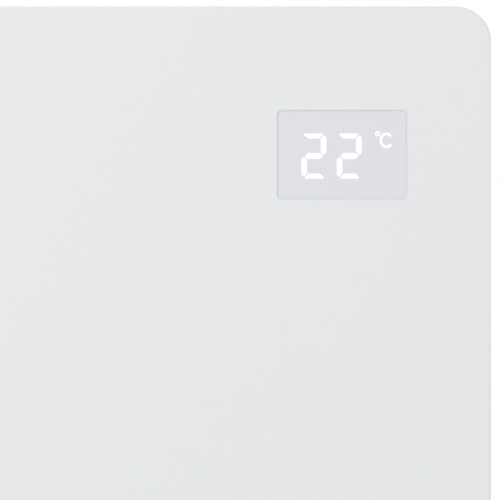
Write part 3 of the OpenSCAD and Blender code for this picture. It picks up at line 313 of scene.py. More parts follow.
# %% Plate the fasteners
def plated(name, color, roughness, scuff=1400):
    finish = Finish(name, color, roughness, Metallic=1.0)
    finish.shade(finish.noise(scuff / 4, 2.0), 0.10)
    finish.vary_roughness(finish.noise(scuff, 2.0), 0.08)
    finish.relief(finish.noise(scuff, 1.0), 0.004 * MM)
    return finish


plated("bright_plating", (0.66, 0.665, 0.67), 0.26).on(
    "casing_screws", "board_screws", "board_standoffs", "earth_stud", "reflector_rivets",
    "flange_rivets")
plated("tinned_metal", (0.70, 0.69, 0.64), 0.30).on("switch_tabs", "element_pins", "earth_tag")

# %% [markdown]
# ## Moulded plastic
# Injection moulding leaves a fine spark-eroded texture and, near thick places, a slight change
# of sheen. One function gives every plastic its own colour and texture size. Gloss on a lens or
# a rocker comes from a lower roughness and a clear coat.

# %% Mould the plastics
def moulded(name, color, roughness=0.45, grain=1600, depth=0.01, coat=0.0, drift=0.04):
    finish = Finish(name, color, roughness, Coat_Weight=coat, Coat_Roughness=0.08)
    finish.shade(finish.noise(22, 3.0), drift)
    finish.vary_roughness(finish.noise(60, 2.0), 0.05)
    finish.relief(finish.noise(grain, 2.0), depth * MM)
    return finish


moulded("grille_plastic", (0.62, 0.63, 0.64), 0.50, 1100, 0.02).on("outlet_grille")
moulded("trim_plastic", (0.60, 0.61, 0.62), 0.42).on("key_bezel")
moulded("key_plastic", (0.74, 0.745, 0.75), 0.36).on("key_plus", "key_mode", "key_minus")
moulded("plunger_plastic", (0.20, 0.20, 0.21)).on("plunger_plus", "plunger_mode", "plunger_minus")
moulded("moulded_carrier", (0.42, 0.43, 0.44)).on("display_carrier")
moulded("black_plastic", (0.020, 0.020, 0.021), 0.48).on(
    "key_switches", "switch_housing", "room_sensor")
moulded("moulded_rocker", (0.014, 0.014, 0.015), 0.22, 700, 0.004, 0.5).on("switch_rocker")
moulded("matt_black", (0.032, 0.032, 0.034), 0.60).on("led_module")
moulded("gland_plastic", (0.66, 0.66, 0.65), 0.40, 900, 0.015).on(
    "cord_bush", "bush_nut", "sensor_clip")
moulded("terminal_nylon", (0.055, 0.21, 0.085), 0.46).on("terminal_block")
moulded("blue_relay_case", (0.022, 0.062, 0.24), 0.28, 900, 0.006, 0.3).on("relays")
moulded("yellow_capacitor_case", (0.52, 0.33, 0.03), 0.30, 900, 0.006, 0.3).on(
    "filter_capacitor")
moulded("potting_resin", (0.018, 0.018, 0.019), 0.34, 260, 0.05).on("supply_module")
moulded("red_sleeve", (0.36, 0.022, 0.018), 0.32, 700, 0.006, 0.2).on("tab_sleeves")
moulded("guide_plastic", (0.80, 0.80, 0.79), 0.30, 900, 0.005, 0.3).on("segment_guides")

# %% [markdown]
# ## The lens
# The display lies behind a milky, slightly blue acrylic lens that hides everything which isn't
# lit. In the photograph it is a shade darker than the glaze. It's moulded, so it's flatter than
# the glaze, and a thin hard coat gives it its own clear sheen.

# %% Tint the lens
lens_acrylic = Finish("lens_acrylic", (0.722, 0.731, 0.758), 0.30,
                      Coat_Weight=0.4, Coat_Roughness=0.05)
lens_acrylic.shade(lens_acrylic.noise(35, 2.0), 0.010)
lens_acrylic.vary_roughness(lens_acrylic.noise(80, 2.0), 0.03)
lens_acrylic.relief(lens_acrylic.noise(1200, 1.0), 0.002 * MM)
lens_acrylic.on("display_lens")

# %% [markdown]
# ## Rubber, silicone and wire
# Rubber is dull and keeps a bloom of fine powder in its hollows. Wire insulation is finished the
# same way with more gloss, and each kind of wire has its usual colour.

# %% Finish the rubber and the wires
def rubbery(name, color, roughness, bloom=0.12):
    finish = Finish(name, color, roughness)
    powder = finish.noise(140, 4.0)
    finish.shade(finish.step(powder, 0.5, 0.8), 0, tuple(c + bloom * (0.5 - c) for c in color))
    finish.vary_roughness(powder, 0.08)
    finish.relief(finish.noise(1800, 2.0), 0.02 * MM)
    return finish


rubbery("black_rubber", (0.045, 0.045, 0.046), 0.75).on("wall_buffers")
rubbery("silicone_seal", (0.52, 0.52, 0.51), 0.60, 0.05).on("plate_seal")
rubbery("red_silicone", (0.27, 0.026, 0.020), 0.42, 0.05).on("element_leads")
rubbery("brown_vinyl", (0.085, 0.032, 0.014), 0.42, 0.05).on("switch_leads")

# %% [markdown]
# ## The earth wire
# An earth wire is green with yellow stripes. A sine of the place along X and Z, cut off at a
# level, gives bands that cross the wire wherever it runs.

# %% Stripe the earth wire
STRIPES = 420
STRIPE_CUT = 0.1
earth_insulation = rubbery("striped_vinyl", (0.10, 0.26, 0.035), 0.42, 0.05)
along_wire = (earth_insulation.axis("X") + earth_insulation.axis("Z")) * STRIPES
wave = earth_insulation.node("ShaderNodeMath", {"operation": "SINE"}, {0: along_wire})
earth_insulation.shade(wave > STRIPE_CUT, 0, (0.60, 0.50, 0.03))
earth_insulation.on("earth_lead")

# %% [markdown]
# ## Fired clay
# The bricks that store the heat are unglazed clay, sandy to the touch, with iron specks and a
# cloudy fire colour. Two noises make the sand and the clouds. A Voronoi pattern is smallest at
# the middle of its cells, so cutting it off there leaves small round specks.

# %% Fire the bricks
clay = Finish("brick_clay", (0.50, 0.31, 0.19), 0.86)
sand = clay.noise(1500, 3.0)
specks = clay.step(clay.cells(420), 0.20, 0.10)
clay.set("Base Color", clay.mix(
    specks * 0.6,
    clay.mix(clay.noise(28, 4.0), (0.44, 0.25, 0.15, 1), (0.58, 0.38, 0.25, 1)),
    (0.16, 0.09, 0.06, 1)))
clay.vary_roughness(sand, 0.08)
clay.relief(sand * 0.7 + clay.noise(300, 3.0) * 0.3, 0.15 * MM)
clay.on("front_bricks", "rear_bricks")

# %% [markdown]
# ## Steatite
# The bushes that lead the element's ends through the partition are steatite, a smooth,
# cream-coloured ceramic that takes heat and doesn't conduct. It has little grain, so its noise
# is fine and its relief low.

# %% Fire the bushes
steatite = Finish("cream_steatite", (0.72, 0.68, 0.58), 0.52)
steatite.shade(steatite.noise(300, 3.0), 0.08)
steatite.vary_roughness(steatite.noise(200, 2.0), 0.06)
steatite.relief(steatite.noise(1500, 3.0), 0.03 * MM)
steatite.on("element_bushes")

# %% [markdown]
# ## Insulating board
# The board behind the core is pressed from mineral fibres, which show as long fine streaks. Noise
# that is squeezed along Z turns its blots into streaks across the board.

# %% Press the insulating board
fibre_board = Finish("fibre_board", (0.62, 0.57, 0.48), 0.92)
fibres = fibre_board.noise(60, 5.0, (1, 1, 14))
fibre_board.shade(fibres, 0.22)
fibre_board.vary_roughness(fibres, 0.05)
fibre_board.relief(fibres + fibre_board.noise(900, 2.0) * 0.5, 0.12 * MM)
fibre_board.on("insulation_board")

# %% [markdown]
# ## The element's sheath
# A stainless sheath that has been hot turns straw, then brown and blue in bands. A ramp on a
# slow noise along the tube gives those colours in their order.

# %% Tint the sheath
sheath = Finish("heat_tinted_steel", (0.20, 0.18, 0.16), 0.42, Metallic=0.95)
heat = sheath.noise(18, 3.0)
sheath.set("Base Color", sheath.node("ShaderNodeValToRGB", {"stops": [
    (0.30, (0.30, 0.27, 0.22)), (0.46, (0.27, 0.17, 0.10)), (0.58, (0.13, 0.10, 0.12)),
    (0.72, (0.12, 0.13, 0.17))]}, {"Fac": heat}))
sheath.vary_roughness(sheath.noise(200, 3.0), 0.12)
sheath.relief(sheath.noise(1200, 2.0), 0.01 * MM)
sheath.on("heating_element")

# %% [markdown]
# ## The reflector
# The reflector is bright rolled aluminium. Rolling leaves lines in one direction, so its noise
# is drawn out a hundred times along X.

# %% Roll the reflector
rolled = Finish("rolled_aluminium", (0.80, 0.81, 0.82), 0.26, Metallic=1.0)
lines = rolled.noise(1500, 2.0, (0.01, 1, 1))
rolled.shade(lines, 0.08)
rolled.vary_roughness(lines, 0.08)
rolled.relief(lines, 0.006 * MM)
rolled.on("reflector")

# %% [markdown]
# ## Circuit boards
# A board is glass laminate under green lacquer. Copper tracks lie under the lacquer and show as
# lighter lines with a slight step. The edges between Voronoi cells, measured by their largest
# axis, run in straight lines and corners much like tracks do.

# %% Lacquer the boards
lacquer = Finish("board_lacquer", (0.012, 0.105, 0.040), 0.30,
                 Coat_Weight=0.6, Coat_Roughness=0.12)
edges = lacquer.node("ShaderNodeTexVoronoi", {"feature": "F1", "distance": "CHEBYCHEV"}, {
    "Vector": lacquer.place, "Scale": 150, "Randomness": 0.75})
tracks = lacquer.step(edges, 0.36, 0.44) * lacquer.step(edges, 0.60, 0.52)
lacquer.shade(tracks, 0, (0.030, 0.190, 0.070))
lacquer.vary_roughness(lacquer.noise(100, 2.0), 0.05)
lacquer.relief(tracks, 0.03 * MM)
lacquer.on("power_board", "display_board", "key_board")

# %% [markdown]
# ## The fuse
# The fuse is a glass tube with metal caps, in one solid. A mask on the distance from its middle
# tells the caps from the glass, and drives the colour, the metal and the alpha.

# %% Finish the fuse
GLASS_HALF = 5 * MM
fuse_low, fuse_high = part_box("fuse")
fuse = Finish("glass_and_caps", (0.80, 0.84, 0.85), 0.10, Coat_Weight=0.5)
from_middle = fuse.node("ShaderNodeMath", {"operation": "ABSOLUTE"}, {
    0: fuse.axis("Z") - (fuse_low.z + fuse_high.z) / 2})
caps = from_middle > GLASS_HALF
fuse.shade(caps, 0, (0.72, 0.70, 0.62))
fuse.set("Metallic", caps)
fuse.set("Alpha", caps * 0.65 + 0.35)
fuse.vary_roughness(fuse.noise(700, 2.0), 0.05)
fuse.on("fuse")

# %% [markdown]
# ## The thermal cut-out
# The cut-out is a small moulded body with metal tabs on its right side. Its tabs are a part of
# the solid too, so all that is more to the right than the body counts as metal.

# %% Finish the cut-out
TAB_LENGTH = 9 * MM
cutout = Finish("cutout_body", (0.035, 0.028, 0.024), 0.50)
tabs = cutout.axis("X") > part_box("thermal_cutout")[1].x - TAB_LENGTH
cutout.shade(tabs, 0, (0.70, 0.69, 0.64))
cutout.set("Metallic", tabs)
cutout.vary_roughness(cutout.noise(500, 3.0), 0.08)
cutout.relief(cutout.noise(1200, 2.0), 0.02 * MM)
cutout.on("thermal_cutout")

# %% [markdown]
# ## The flat cable
# A flat cable is a row of thin wires side by side under one skin. A sine across it gives each
# wire its own ridge, and the same sine darkens the colour in bands that follow the ridges, as
# painted shade.

# %% Finish the flat cable
WIRE_PITCH = 1.2 * MM
cable = Finish("flat_cable", (0.34, 0.345, 0.35), 0.40)
ridge_and_painted_shade = cable.node("ShaderNodeMath", {"operation": "SINE"}, {
    0: cable.axis("X") * (2 * math.pi / WIRE_PITCH)})
# Painted shade: the colour darkens in bands along the ridge sine.
cable.shade(ridge_and_painted_shade * 0.5 + 0.5, 0.22)
cable.vary_roughness(cable.noise(200, 2.0), 0.05)
cable.relief(ridge_and_painted_shade, 0.12 * MM)
cable.on("display_ribbon")

# %% [markdown]
# ## Flat shapes
# The lit segments and the printed marks are thin shapes on top of a solid. Each starts as a flat
# outline in a bmesh, given in millimetres round a centre, and an extrude operator gives it its
# thickness. Curved strokes could be text or curve objects, but a short edge that is spun round a
# centre gives a clean band of quads whose width is known.

# %% Draw and thicken flat shapes
FEWEST_STEPS = 12
DEGREES_PER_STEP = 7


def outline(mesh, points, turned=0.0, centre=(0, 0)):
    """A flat face from points in millimetres, turned about the zero point, then moved."""
    turn = Matrix.Rotation(math.radians(turned), 3, "Z")
    mesh.faces.new(
        [mesh.verts.new(turn @ Vector((x, y, 0)) + Vector((*centre, 0))) for x, y in points])


def arc(mesh, radii, stroke, start=0, sweep=360, centre=(0, 0)):
    """A flat stroke along a circle or an oval, made by spinning its end edge."""
    ends = [mesh.verts.new((radii[0] + side * stroke / 2, 0, 0)) for side in (-1, 1)]
    edge = mesh.edges.new(ends)
    bmesh.ops.rotate(mesh, verts=ends, matrix=Matrix.Rotation(math.radians(start), 3, "Z"))
    before = set(mesh.verts)
    bmesh.ops.spin(mesh, geom=[edge, *ends], axis=(0, 0, 1), angle=math.radians(sweep),
                   steps=max(FEWEST_STEPS, round(sweep / DEGREES_PER_STEP)),
                   use_merge=sweep == 360)
    swept = ends + [v for v in mesh.verts if v not in before]
    bmesh.ops.scale(mesh, verts=swept, vec=(1, radii[1] / radii[0], 1))
    bmesh.ops.translate(mesh, verts=swept, vec=(*centre, 0))


def thicken(mesh, faces, thickness):
    """Grows flat faces along Z into solids."""
    grown = bmesh.ops.extrude_face_region(mesh, geom=list(faces))
    raised = [v for v in grown["geom"] if isinstance(v, bmesh.types.BMVert)]
    bmesh.ops.translate(mesh, verts=raised, vec=(0, 0, thickness))


print("flat shapes are ready")

# %% [markdown]
# ## From a bmesh to a piece
# A bmesh is only a draft. To become a piece it gets an object, a finish, the body that it rides
# on and the slot that its material belongs to. Its place goes into the mesh and the object stays
# at the origin, so that patterns on Object coordinates stay where they are when it's exported.

# %% Make a piece of the heater
def to_scene(name, mesh, place, body, finish):
    """Puts a bmesh, made in millimetres, in its place and makes it a piece of the heater."""
    bmesh.ops.recalc_face_normals(mesh, faces=mesh.faces)
    bmesh.ops.transform(mesh, matrix=place @ Matrix.Scale(MM, 4), verts=mesh.verts)
    data = bpy.data.meshes.new(name)
    mesh.to_mesh(data)
    mesh.free()
    piece = bpy.data.objects.new(name, data)
    bpy.context.scene.collection.objects.link(piece)
    data.materials.append(finish.material)
    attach(piece, body)
    print(name, "has", len(data.polygons), "faces")


print("pieces can be made")

# %% [markdown]
# ## Where a mark sits
# A mark has to lie on its solid, also where that slopes, so its place isn't typed in. A ray is
# sent at the solid's own mesh. The point that it meets and the way that face looks make up a
# matrix, in which Z leaves the surface and Y points up. A mark is sunk by two hundredths of a
# millimetre, so that no light gets under it, and stands proud by a little more.

# %% Find a seat on a solid
SUNK = 0.02
PROUD = 0.03
UP = Vector((0, 0, 1))
facing_front = Matrix.Rotation(math.radians(90), 4, "X")


def seat(solid, start, direction, depth=SUNK):
    """Where a ray meets a solid, as a matrix that is sunk by a depth in millimetres."""
    data = solids[solid].data
    faces = [face.vertices for face in data.polygons]
    hit, out = BVHTree.FromPolygons([v.co for v in data.vertices], faces).ray_cast(
        Vector(start), Vector(direction))[:2]
    across = UP.cross(out).normalized()
    turn = Matrix((across, out.cross(across), out)).transposed()
    return Matrix.Translation(hit - out * depth * MM) @ turn.to_4x4()


IN_FRONT = Vector((0, -0.1, 0))
on_lens = seat("display_lens", lens_middle + IN_FRONT, (0, 1, 0))
print("seat on the lens at", [round(v / MM, 2) for v in on_lens.translation], "mm")

# %% [markdown]
# ## The lit digits
# Behind the lens, light guides under each segment end in bars with slanted ends, so that
# neighbours nearly meet. A lit bar shows through the lens as plain white. The digit 2 uses five
# bars, and a half turn takes its upper half to its lower half, so only three bars are drawn. The
# piece lies a hair above the lens, where the eye sees the light. Its own colour is dark, because
# what the lamps add to a pale one would make it glow past white.

# %% Light the number
DIGIT_PITCH = 15.55
FIRST_DIGIT = (-12.55, -0.44)
TOP_BAR = [(-4.4, 9.3), (-4.05, 9.95), (3.6, 9.95), (3.95, 9.45), (2.5, 7.7), (-2.55, 7.7)]
SIDE_BAR = [(5.5, 7.9), (4.75, 9.0), (4.3, 9.0), (3.0, 7.4), (3.0, 1.75), (4.35, 0.4),
            (5.5, 1.5)]
MIDDLE_BAR = [(-3.95, 0), (-2.65, 1.35), (2.65, 1.35), (4.0, 0), (2.65, -1.35), (-2.65, -1.35)]
glow = Finish("lit_segment", (0.16, 0.16, 0.16), 0.5,
              Emission_Color=(1, 1, 1, 1), Emission_Strength=0.88)
glow.vary_roughness(glow.noise(600, 1.0), 0.05)
digits = bmesh.new()
for place in range(2):
    middle = (FIRST_DIGIT[0] + place * DIGIT_PITCH, FIRST_DIGIT[1])
    outline(digits, MIDDLE_BAR, 0, middle)
    for turned in (0, 180):
        outline(digits, TOP_BAR, turned, middle)
        outline(digits, SIDE_BAR, turned, middle)
thicken(digits, digits.faces, SUNK + PROUD)
to_scene("lit_number", digits, on_lens, "heater", glow)

# %% [markdown]
# ## The unit
# Beside the number a small ring and a C are lit for degrees Celsius. The C is a little taller
# than wide, so its stroke runs along an oval and stops short of a full turn on both sides.

# %% Light the unit
DEGREE_RING = {"radii": (0.82, 0.82), "stroke": 0.62, "centre": (15.5, 9.4)}
UNIT_LETTER = {"radii": (2.5, 2.9), "stroke": 0.98, "start": 38, "sweep": 284,
               "centre": (19.4, 6.45)}
unit = bmesh.new()
arc(unit, **DEGREE_RING)
arc(unit, **UNIT_LETTER)
thicken(unit, unit.faces, SUNK + PROUD)
to_scene("lit_unit", unit, on_lens, "heater", glow)

# %% [markdown]
# ## The bead round the lens
# A moulded lens is a little smaller than its hole, or it would crack as the plate warms. On the
# real object a white sealant fills that gap. Left open it would draw a black line round the
# window, which the photograph doesn't have. A flat ring comes from a rectangle whose corners are
# bevelled, and an inset leaves only its rim.

# %% Fill the gap round the lens
WINDOW = (57.2, 39.1)
WINDOW_RADIUS = 2.2
BEAD_WIDTH = 0.33
BEAD_DEPTH = 1.6
INSIDE_WINDOW = 0.02
BELOW_LENS = 0.01


def round_rectangle(mesh, width, height, radius, steps=8):
    """A flat rectangle whose corners are rounded by a bevel on its vertices."""
    made = bmesh.ops.create_grid(mesh, x_segments=1, y_segments=1, size=0.5)
    bmesh.ops.scale(mesh, verts=made["verts"], vec=(width, height, 1))
    bmesh.ops.bevel(mesh, geom=made["verts"], affect="VERTICES", offset=radius, segments=steps,
                    profile=0.5, material=-1)


sealant = Finish("white_sealant", (0.800, 0.803, 0.810), 0.45)
sealant.shade(sealant.noise(90, 3.0), 0.03)
sealant.vary_roughness(sealant.noise(300, 2.0), 0.08)
sealant.relief(sealant.noise(700, 2.0), 0.01 * MM)
bead = bmesh.new()
round_rectangle(bead, WINDOW[0] - INSIDE_WINDOW, WINDOW[1] - INSIDE_WINDOW, WINDOW_RADIUS)
rim = bmesh.ops.inset_region(bead, faces=bead.faces, thickness=BEAD_WIDTH,
                             use_boundary=True, use_even_offset=True)["faces"]
bmesh.ops.delete(bead, geom=[f for f in bead.faces if f not in rim], context="FACES")
thicken(bead, bead.faces, BEAD_DEPTH)
below = Matrix.Translation((0, 0, -(BEAD_DEPTH + BELOW_LENS) * MM))
to_scene("window_bead", bead, on_lens @ below, "heater", sealant)

# %% [markdown]
# ## Marks on the keys
# Marks are pad-printed in grey ink. They are generic signs: plus, minus, and a ring for the mode
# key. Each rides on the body of its own key, so it moves when that key is pressed. The plus is
# one long bar and two half bars, because faces that lie over each other in one plane would
# flicker.

# %% Print the key marks
BAR_MARK = [(-1.7, -0.28), (1.7, -0.28), (1.7, 0.28), (-1.7, 0.28)]
HALF_BAR = [(-0.28, 0.28), (0.28, 0.28), (0.28, 1.7), (-0.28, 1.7)]
MODE_RING = {"radii": (1.35, 1.35), "stroke": 0.5}
RIGHT_OF_HEATER = 0.3
ink = Finish("grey_ink", (0.16, 0.165, 0.17), 0.55)
ink.shade(ink.noise(2500, 2.0), 0.15)
ink.vary_roughness(ink.noise(900, 1.0), 0.05)


def print_key(sign, mesh):
    middle = sum(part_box("key_" + sign), Vector()) / 2
    place = seat("key_" + sign, (RIGHT_OF_HEATER, middle.y, middle.z), (-1, 0, 0))
    thicken(mesh, mesh.faces, SUNK + PROUD)
    to_scene("mark_" + sign, mesh, place, sign + "_key", ink)


plus = bmesh.new()
outline(plus, BAR_MARK)
for turned in (0, 180):
    outline(plus, HALF_BAR, turned)
print_key("plus", plus)
mode = bmesh.new()
arc(mode, **MODE_RING)
print_key("mode", mode)
minus = bmesh.new()
outline(minus, BAR_MARK)
print_key("minus", minus)

# %% [markdown]
# ## On and off
# A power rocker carries a bar for on and a ring for off, printed in white. Its two faces slope,
# so a ray is sent at each half to find the face and its tilt, and the mark is laid there.

# %% Mark the rocker
ON_BAR = [(-0.3, -1.4), (0.3, -1.4), (0.3, 1.4), (-0.3, 1.4)]
OFF_RING = {"radii": (1.1, 1.4), "stroke": 0.5}
FROM_ROCKER_MIDDLE = 4.2 * MM
white_ink = Finish("white_ink", (0.72, 0.72, 0.70), 0.5)
white_ink.shade(white_ink.noise(2500, 2.0), 0.08)
white_ink.vary_roughness(white_ink.noise(900, 1.0), 0.05)
rocker_middle = sum(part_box("switch_rocker"), Vector()) / 2
on_mark = bmesh.new()
outline(on_mark, ON_BAR)
off_mark = bmesh.new()
arc(off_mark, **OFF_RING)
for name, mark, side in (("mark_on", on_mark, 1), ("mark_off", off_mark, -1)):
    start = (RIGHT_OF_HEATER, rocker_middle.y, rocker_middle.z + side * FROM_ROCKER_MIDDLE)
    thicken(mark, mark.faces, SUNK + PROUD)
    to_scene(name, mark, seat("switch_rocker", start, (-1, 0, 0)), "rocker",
             white_ink)

# %% [markdown]
# ## Small parts on the boards
# The CAD model carries the large parts of the circuit. What a maker would miss are the small
# ones: the electrolytic capacitors, the choke with its copper winding, chips, resistors and the
# screws of the terminals. Round ones are half profiles spun about their own axis, the others are
# cubes with bevelled edges. Both helpers work in millimetres, with Z standing off the board.

# %% Helpers for small parts
def spun(mesh, profile, middle=(0, 0, 0), turn=None, steps=32):
    """A round solid: a half profile of (radius, height) spun about Z, then turned and moved."""
    verts = [mesh.verts.new((radius, 0, height)) for radius, height in profile]
    edges = [mesh.edges.new(pair) for pair in zip(verts, verts[1:])]
    before = set(mesh.verts) - set(verts)
    bmesh.ops.spin(mesh, geom=verts + edges, axis=(0, 0, 1), angle=2 * math.pi, steps=steps,
                   use_merge=True)
    made = [v for v in mesh.verts if v not in before]
    bmesh.ops.remove_doubles(mesh, verts=made, dist=0.0005)
    made = [v for v in mesh.verts if v not in before]
    if turn:
        bmesh.ops.rotate(mesh, verts=made, matrix=turn)
    bmesh.ops.translate(mesh, verts=made, vec=middle)


def block(mesh, size, base, edge=0.2):
    """A box, with rounded edges or with none, that stands on the middle of its base."""
    before = set(mesh.verts)
    bmesh.ops.create_cube(mesh, size=1)
    made = [v for v in mesh.verts if v not in before]
    bmesh.ops.scale(mesh, verts=made, vec=size)
    bmesh.ops.translate(mesh, verts=made, vec=Vector(base) + Vector((0, 0, size[2] / 2)))
    if edge:
        edges = {e for v in made for e in v.link_edges}
        bmesh.ops.bevel(mesh, geom=list(edges), affect="EDGES", offset=edge, segments=2,
                        profile=0.5, material=-1)


def pin(mesh, radius, height, base, steps):
    """A round wire that stands on the board."""
    spun(mesh, [(0, 0), (radius, 0), (radius, height), (0, height)], base, None, steps)


board_low, board_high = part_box("power_board")
board_middle = (board_low + board_high) / 2
on_power_board = Matrix.Translation((board_middle.x, board_low.y, board_middle.z)) @ facing_front
flat_on_x = Matrix.Rotation(math.radians(90), 3, "Y")
print("power board", [round(v / MM, 1) for v in board_high - board_low], "mm")

# %% [markdown]
# ## Electrolytic capacitors
# A capacitor is a rolled can with a groove near its foot, in a dark shrink sleeve that ends just
# over the rim and leaves the metal top bare. One profile gives the groove, the rim and the flat
# top. A mask on the height above the board turns the top to metal, so can and sleeve stay one
# mesh.

# %% Stand the capacitors
CAN = [(0, 0.2), (4.9, 0.2), (5, 0.5), (5, 1.6), (4.6, 2.0), (4.6, 2.4), (5, 2.8), (5, 12.6),
       (4.6, 13), (4.1, 13), (4.0, 12.8), (0, 12.8)]
CANS_AT = ((8, 50), (21, 50))
SLEEVE_HEIGHT = 12.7 * MM
can_sleeve = moulded("can_sleeve", (0.030, 0.034, 0.060), 0.30, 700, 0.006, 0.2)
top_of_can = can_sleeve.axis("Y") < board_low.y - SLEEVE_HEIGHT
can_sleeve.shade(top_of_can, 0, (0.62, 0.62, 0.61))
can_sleeve.set("Metallic", top_of_can)
cans = bmesh.new()
for x, y in CANS_AT:
    spun(cans, CAN, (x, y, 0))
to_scene("electrolytic_capacitors", cans, on_power_board, "heater",
         can_sleeve)

# %% [markdown]
# ## The varistor
# A varistor guards the board from surges. It's a pressed disc that is dipped in blue resin, which
# draws back at its edge and gives it a lens shape. It stands on two wires that are dipped too.

# %% Stand the varistor
DISC = [(0, -1.9), (3.6, -1.8), (4.8, -1.2), (5.2, 0), (4.8, 1.2), (3.6, 1.8), (0, 1.9)]
VARISTOR_AT = (34, 8)
VARISTOR_HEIGHT = 7.2
VARISTOR_WIRES = 3.6
varistor_resin = moulded("varistor_resin", (0.03, 0.10, 0.34), 0.30, 500, 0.02, 0.3)
varistor = bmesh.new()
spun(varistor, DISC, (*VARISTOR_AT, VARISTOR_HEIGHT), flat_on_x)
for side in (-1, 1):
    pin(varistor, 0.4, 3, (VARISTOR_AT[0], VARISTOR_AT[1] + side * VARISTOR_WIRES, 0), 10)
to_scene("varistor", varistor, on_power_board, "heater", varistor_resin)

# %% [markdown]
# ## The choke
# A choke keeps the board's noise off the mains: a ring of grey ferrite with two windings of
# enamelled copper that leave a gap between them. The core is a circle spun about an axis outside
# it, the way a torus is drawn. Each turn of wire is a smaller torus round the core, set every 11
# degrees, which reads as a winding without a helix.

# %% Wind the choke
CORE = 5.6
TUBE = 2.0
WIRE = 0.33
AROUND_CORE = 0.35
CHOKE_LIFT = 0.9
TURNS = 11
TURN_PITCH = 11
WINDING_STARTS = (35, 215)


def torus(mesh, radius, tube, middle, turn, steps=48, sides=16):
    """A closed ring: a circle spun about an axis that it doesn't touch."""
    before = set(mesh.verts)
    made = bmesh.ops.create_circle(mesh, segments=sides, radius=tube)["verts"]
    bmesh.ops.rotate(mesh, verts=made, matrix=Matrix.Rotation(math.radians(90), 3, "X"))
    bmesh.ops.translate(mesh, verts=made, vec=(radius, 0, 0))
    edges = list({e for v in made for e in v.link_edges})
    bmesh.ops.spin(mesh, geom=made + edges, axis=(0, 0, 1), angle=2 * math.pi, steps=steps,
                   use_merge=True)
    ring = [v for v in mesh.verts if v not in before]
    bmesh.ops.rotate(mesh, verts=ring, matrix=turn)
    bmesh.ops.translate(mesh, verts=ring, vec=middle)


choke_middle = Vector((31, 30, CORE + TUBE + CHOKE_LIFT))
ferrite = moulded("ferrite", (0.10, 0.11, 0.10), 0.55, 900, 0.03)
core = bmesh.new()
torus(core, CORE, TUBE, choke_middle, flat_on_x)
to_scene("choke_core", core, on_power_board, "heater", ferrite)
copper = plated("enamelled_copper", (0.46, 0.17, 0.06), 0.32)
winding = bmesh.new()
for degrees in [start + TURN_PITCH * turn for start in WINDING_STARTS for turn in range(TURNS)]:
    spot = Matrix.Rotation(math.radians(degrees), 3, "X")
    torus(winding, TUBE + AROUND_CORE, WIRE, choke_middle + spot @ Vector((0, CORE, 0)), spot,
          20, 8)
to_scene("choke_winding", winding, on_power_board, "heater", copper)

# %% [markdown]
# ## Chips
# The controller is a flat square of black resin with legs on four sides, and two couplers with
# legs on two sides carry its orders over to the mains side. Bodies get bevelled edges, because a
# mould can't make sharp ones. Legs are plain little blocks: there are dozens, so each has few
# faces.

# %% Place the chips
CONTROLLER_AT = (12, 24)
COUPLERS_AT = ((-4, -2), (-4, -14))
LEG_PITCH = 0.8
COUPLER_PITCH = 2.54
chips = bmesh.new()
block(chips, (7, 7, 1.4), (*CONTROLLER_AT, 0.2))
for spot in COUPLERS_AT:
    block(chips, (6.4, 8.6, 3.4), (*spot, 0.8))
chip_resin = moulded("chip_resin", (0.022, 0.022, 0.023), 0.55, 1500, 0.01)
to_scene("chips", chips, on_power_board, "heater", chip_resin)
tin = plated("tin", (0.66, 0.66, 0.64), 0.34)
legs = bmesh.new()
x, y = CONTROLLER_AT
for along in [(step - 3.5) * LEG_PITCH for step in range(8)]:
    for side in (-1, 1):
        block(legs, (1.3, 0.35, 0.3), (x + side * 4, y + along, 0), 0)
        block(legs, (0.35, 1.3, 0.3), (x + along, y + side * 4, 0), 0)
for x, y in COUPLERS_AT:
    for along in [step * COUPLER_PITCH for step in (-1, 0, 1)]:
        for side in (-1, 1):
            block(legs, (0.4, 1.1, 2.6), (x + side * 3.7, y + along, 0), 0)
to_scene("chip_legs", legs, on_power_board, "heater", tin)

# %% [markdown]
# ## Resistors
# Five wired resistors lie in a row. Each is a ceramic rod with a cap pressed on either end, all
# under one lacquer, which gives the shape of a small bone. That is one profile, spun and laid
# flat along X.

# %% Lay the resistors
BODY = [(0, -3.2), (0.9, -3.1), (1.2, -2.7), (1.2, -1.9), (1.0, -1.5), (1.0, 1.5), (1.2, 1.9),
        (1.2, 2.7), (0.9, 3.1), (0, 3.2)]
FIRST_RESISTOR = (12, 12)
RESISTOR_PITCH = 3.4
RESISTOR_HEIGHT = 1.4
RESISTOR_WIRES = 2.9
resistor_lacquer = moulded("resistor_lacquer", (0.50, 0.40, 0.25), 0.38, 900, 0.01, 0.2)
resistors = bmesh.new()
x = FIRST_RESISTOR[0]
for y in [FIRST_RESISTOR[1] - RESISTOR_PITCH * step for step in range(5)]:
    spun(resistors, BODY, (x, y, RESISTOR_HEIGHT), flat_on_x, 16)
    for side in (-1, 1):
        pin(resistors, 0.3, RESISTOR_HEIGHT, (x + side * RESISTOR_WIRES, y, 0), 8)
to_scene("resistors", resistors, on_power_board, "heater", resistor_lacquer)

# %% [markdown]
# ## Terminal screws
# Each way of the terminal block has a clamp screw that is reached through a hole in its front.
# Only its head shows, a little below the plastic, so a short plug with a rounded edge is enough.

# %% Set the terminal screws
SCREW = [(0, -3), (1.9, -3), (1.9, -0.3), (1.7, 0), (0, 0)]
TERMINAL_PITCH = 10
SCREW_DEPTH = 0.6
terminal_low, terminal_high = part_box("terminal_block")
on_terminals = Matrix.Translation((
    (terminal_low.x + terminal_high.x) / 2, terminal_low.y,
    (terminal_low.z + terminal_high.z) / 2)) @ facing_front
screws = bmesh.new()
for step in (-1, 0, 1):
    spun(screws, SCREW, (TERMINAL_PITCH * step, 0, -SCREW_DEPTH))
to_scene("terminal_screws", screws, on_terminals, "heater", tin)

# %% [markdown]
# ## Fuse clips
# The glass fuse snaps into two spring clips of tinned brass that hold its caps. A clip is a strip
# bent round most of a circle and open to the front. The strip's end view is an arc, and growing
# it along the fuse gives its width.

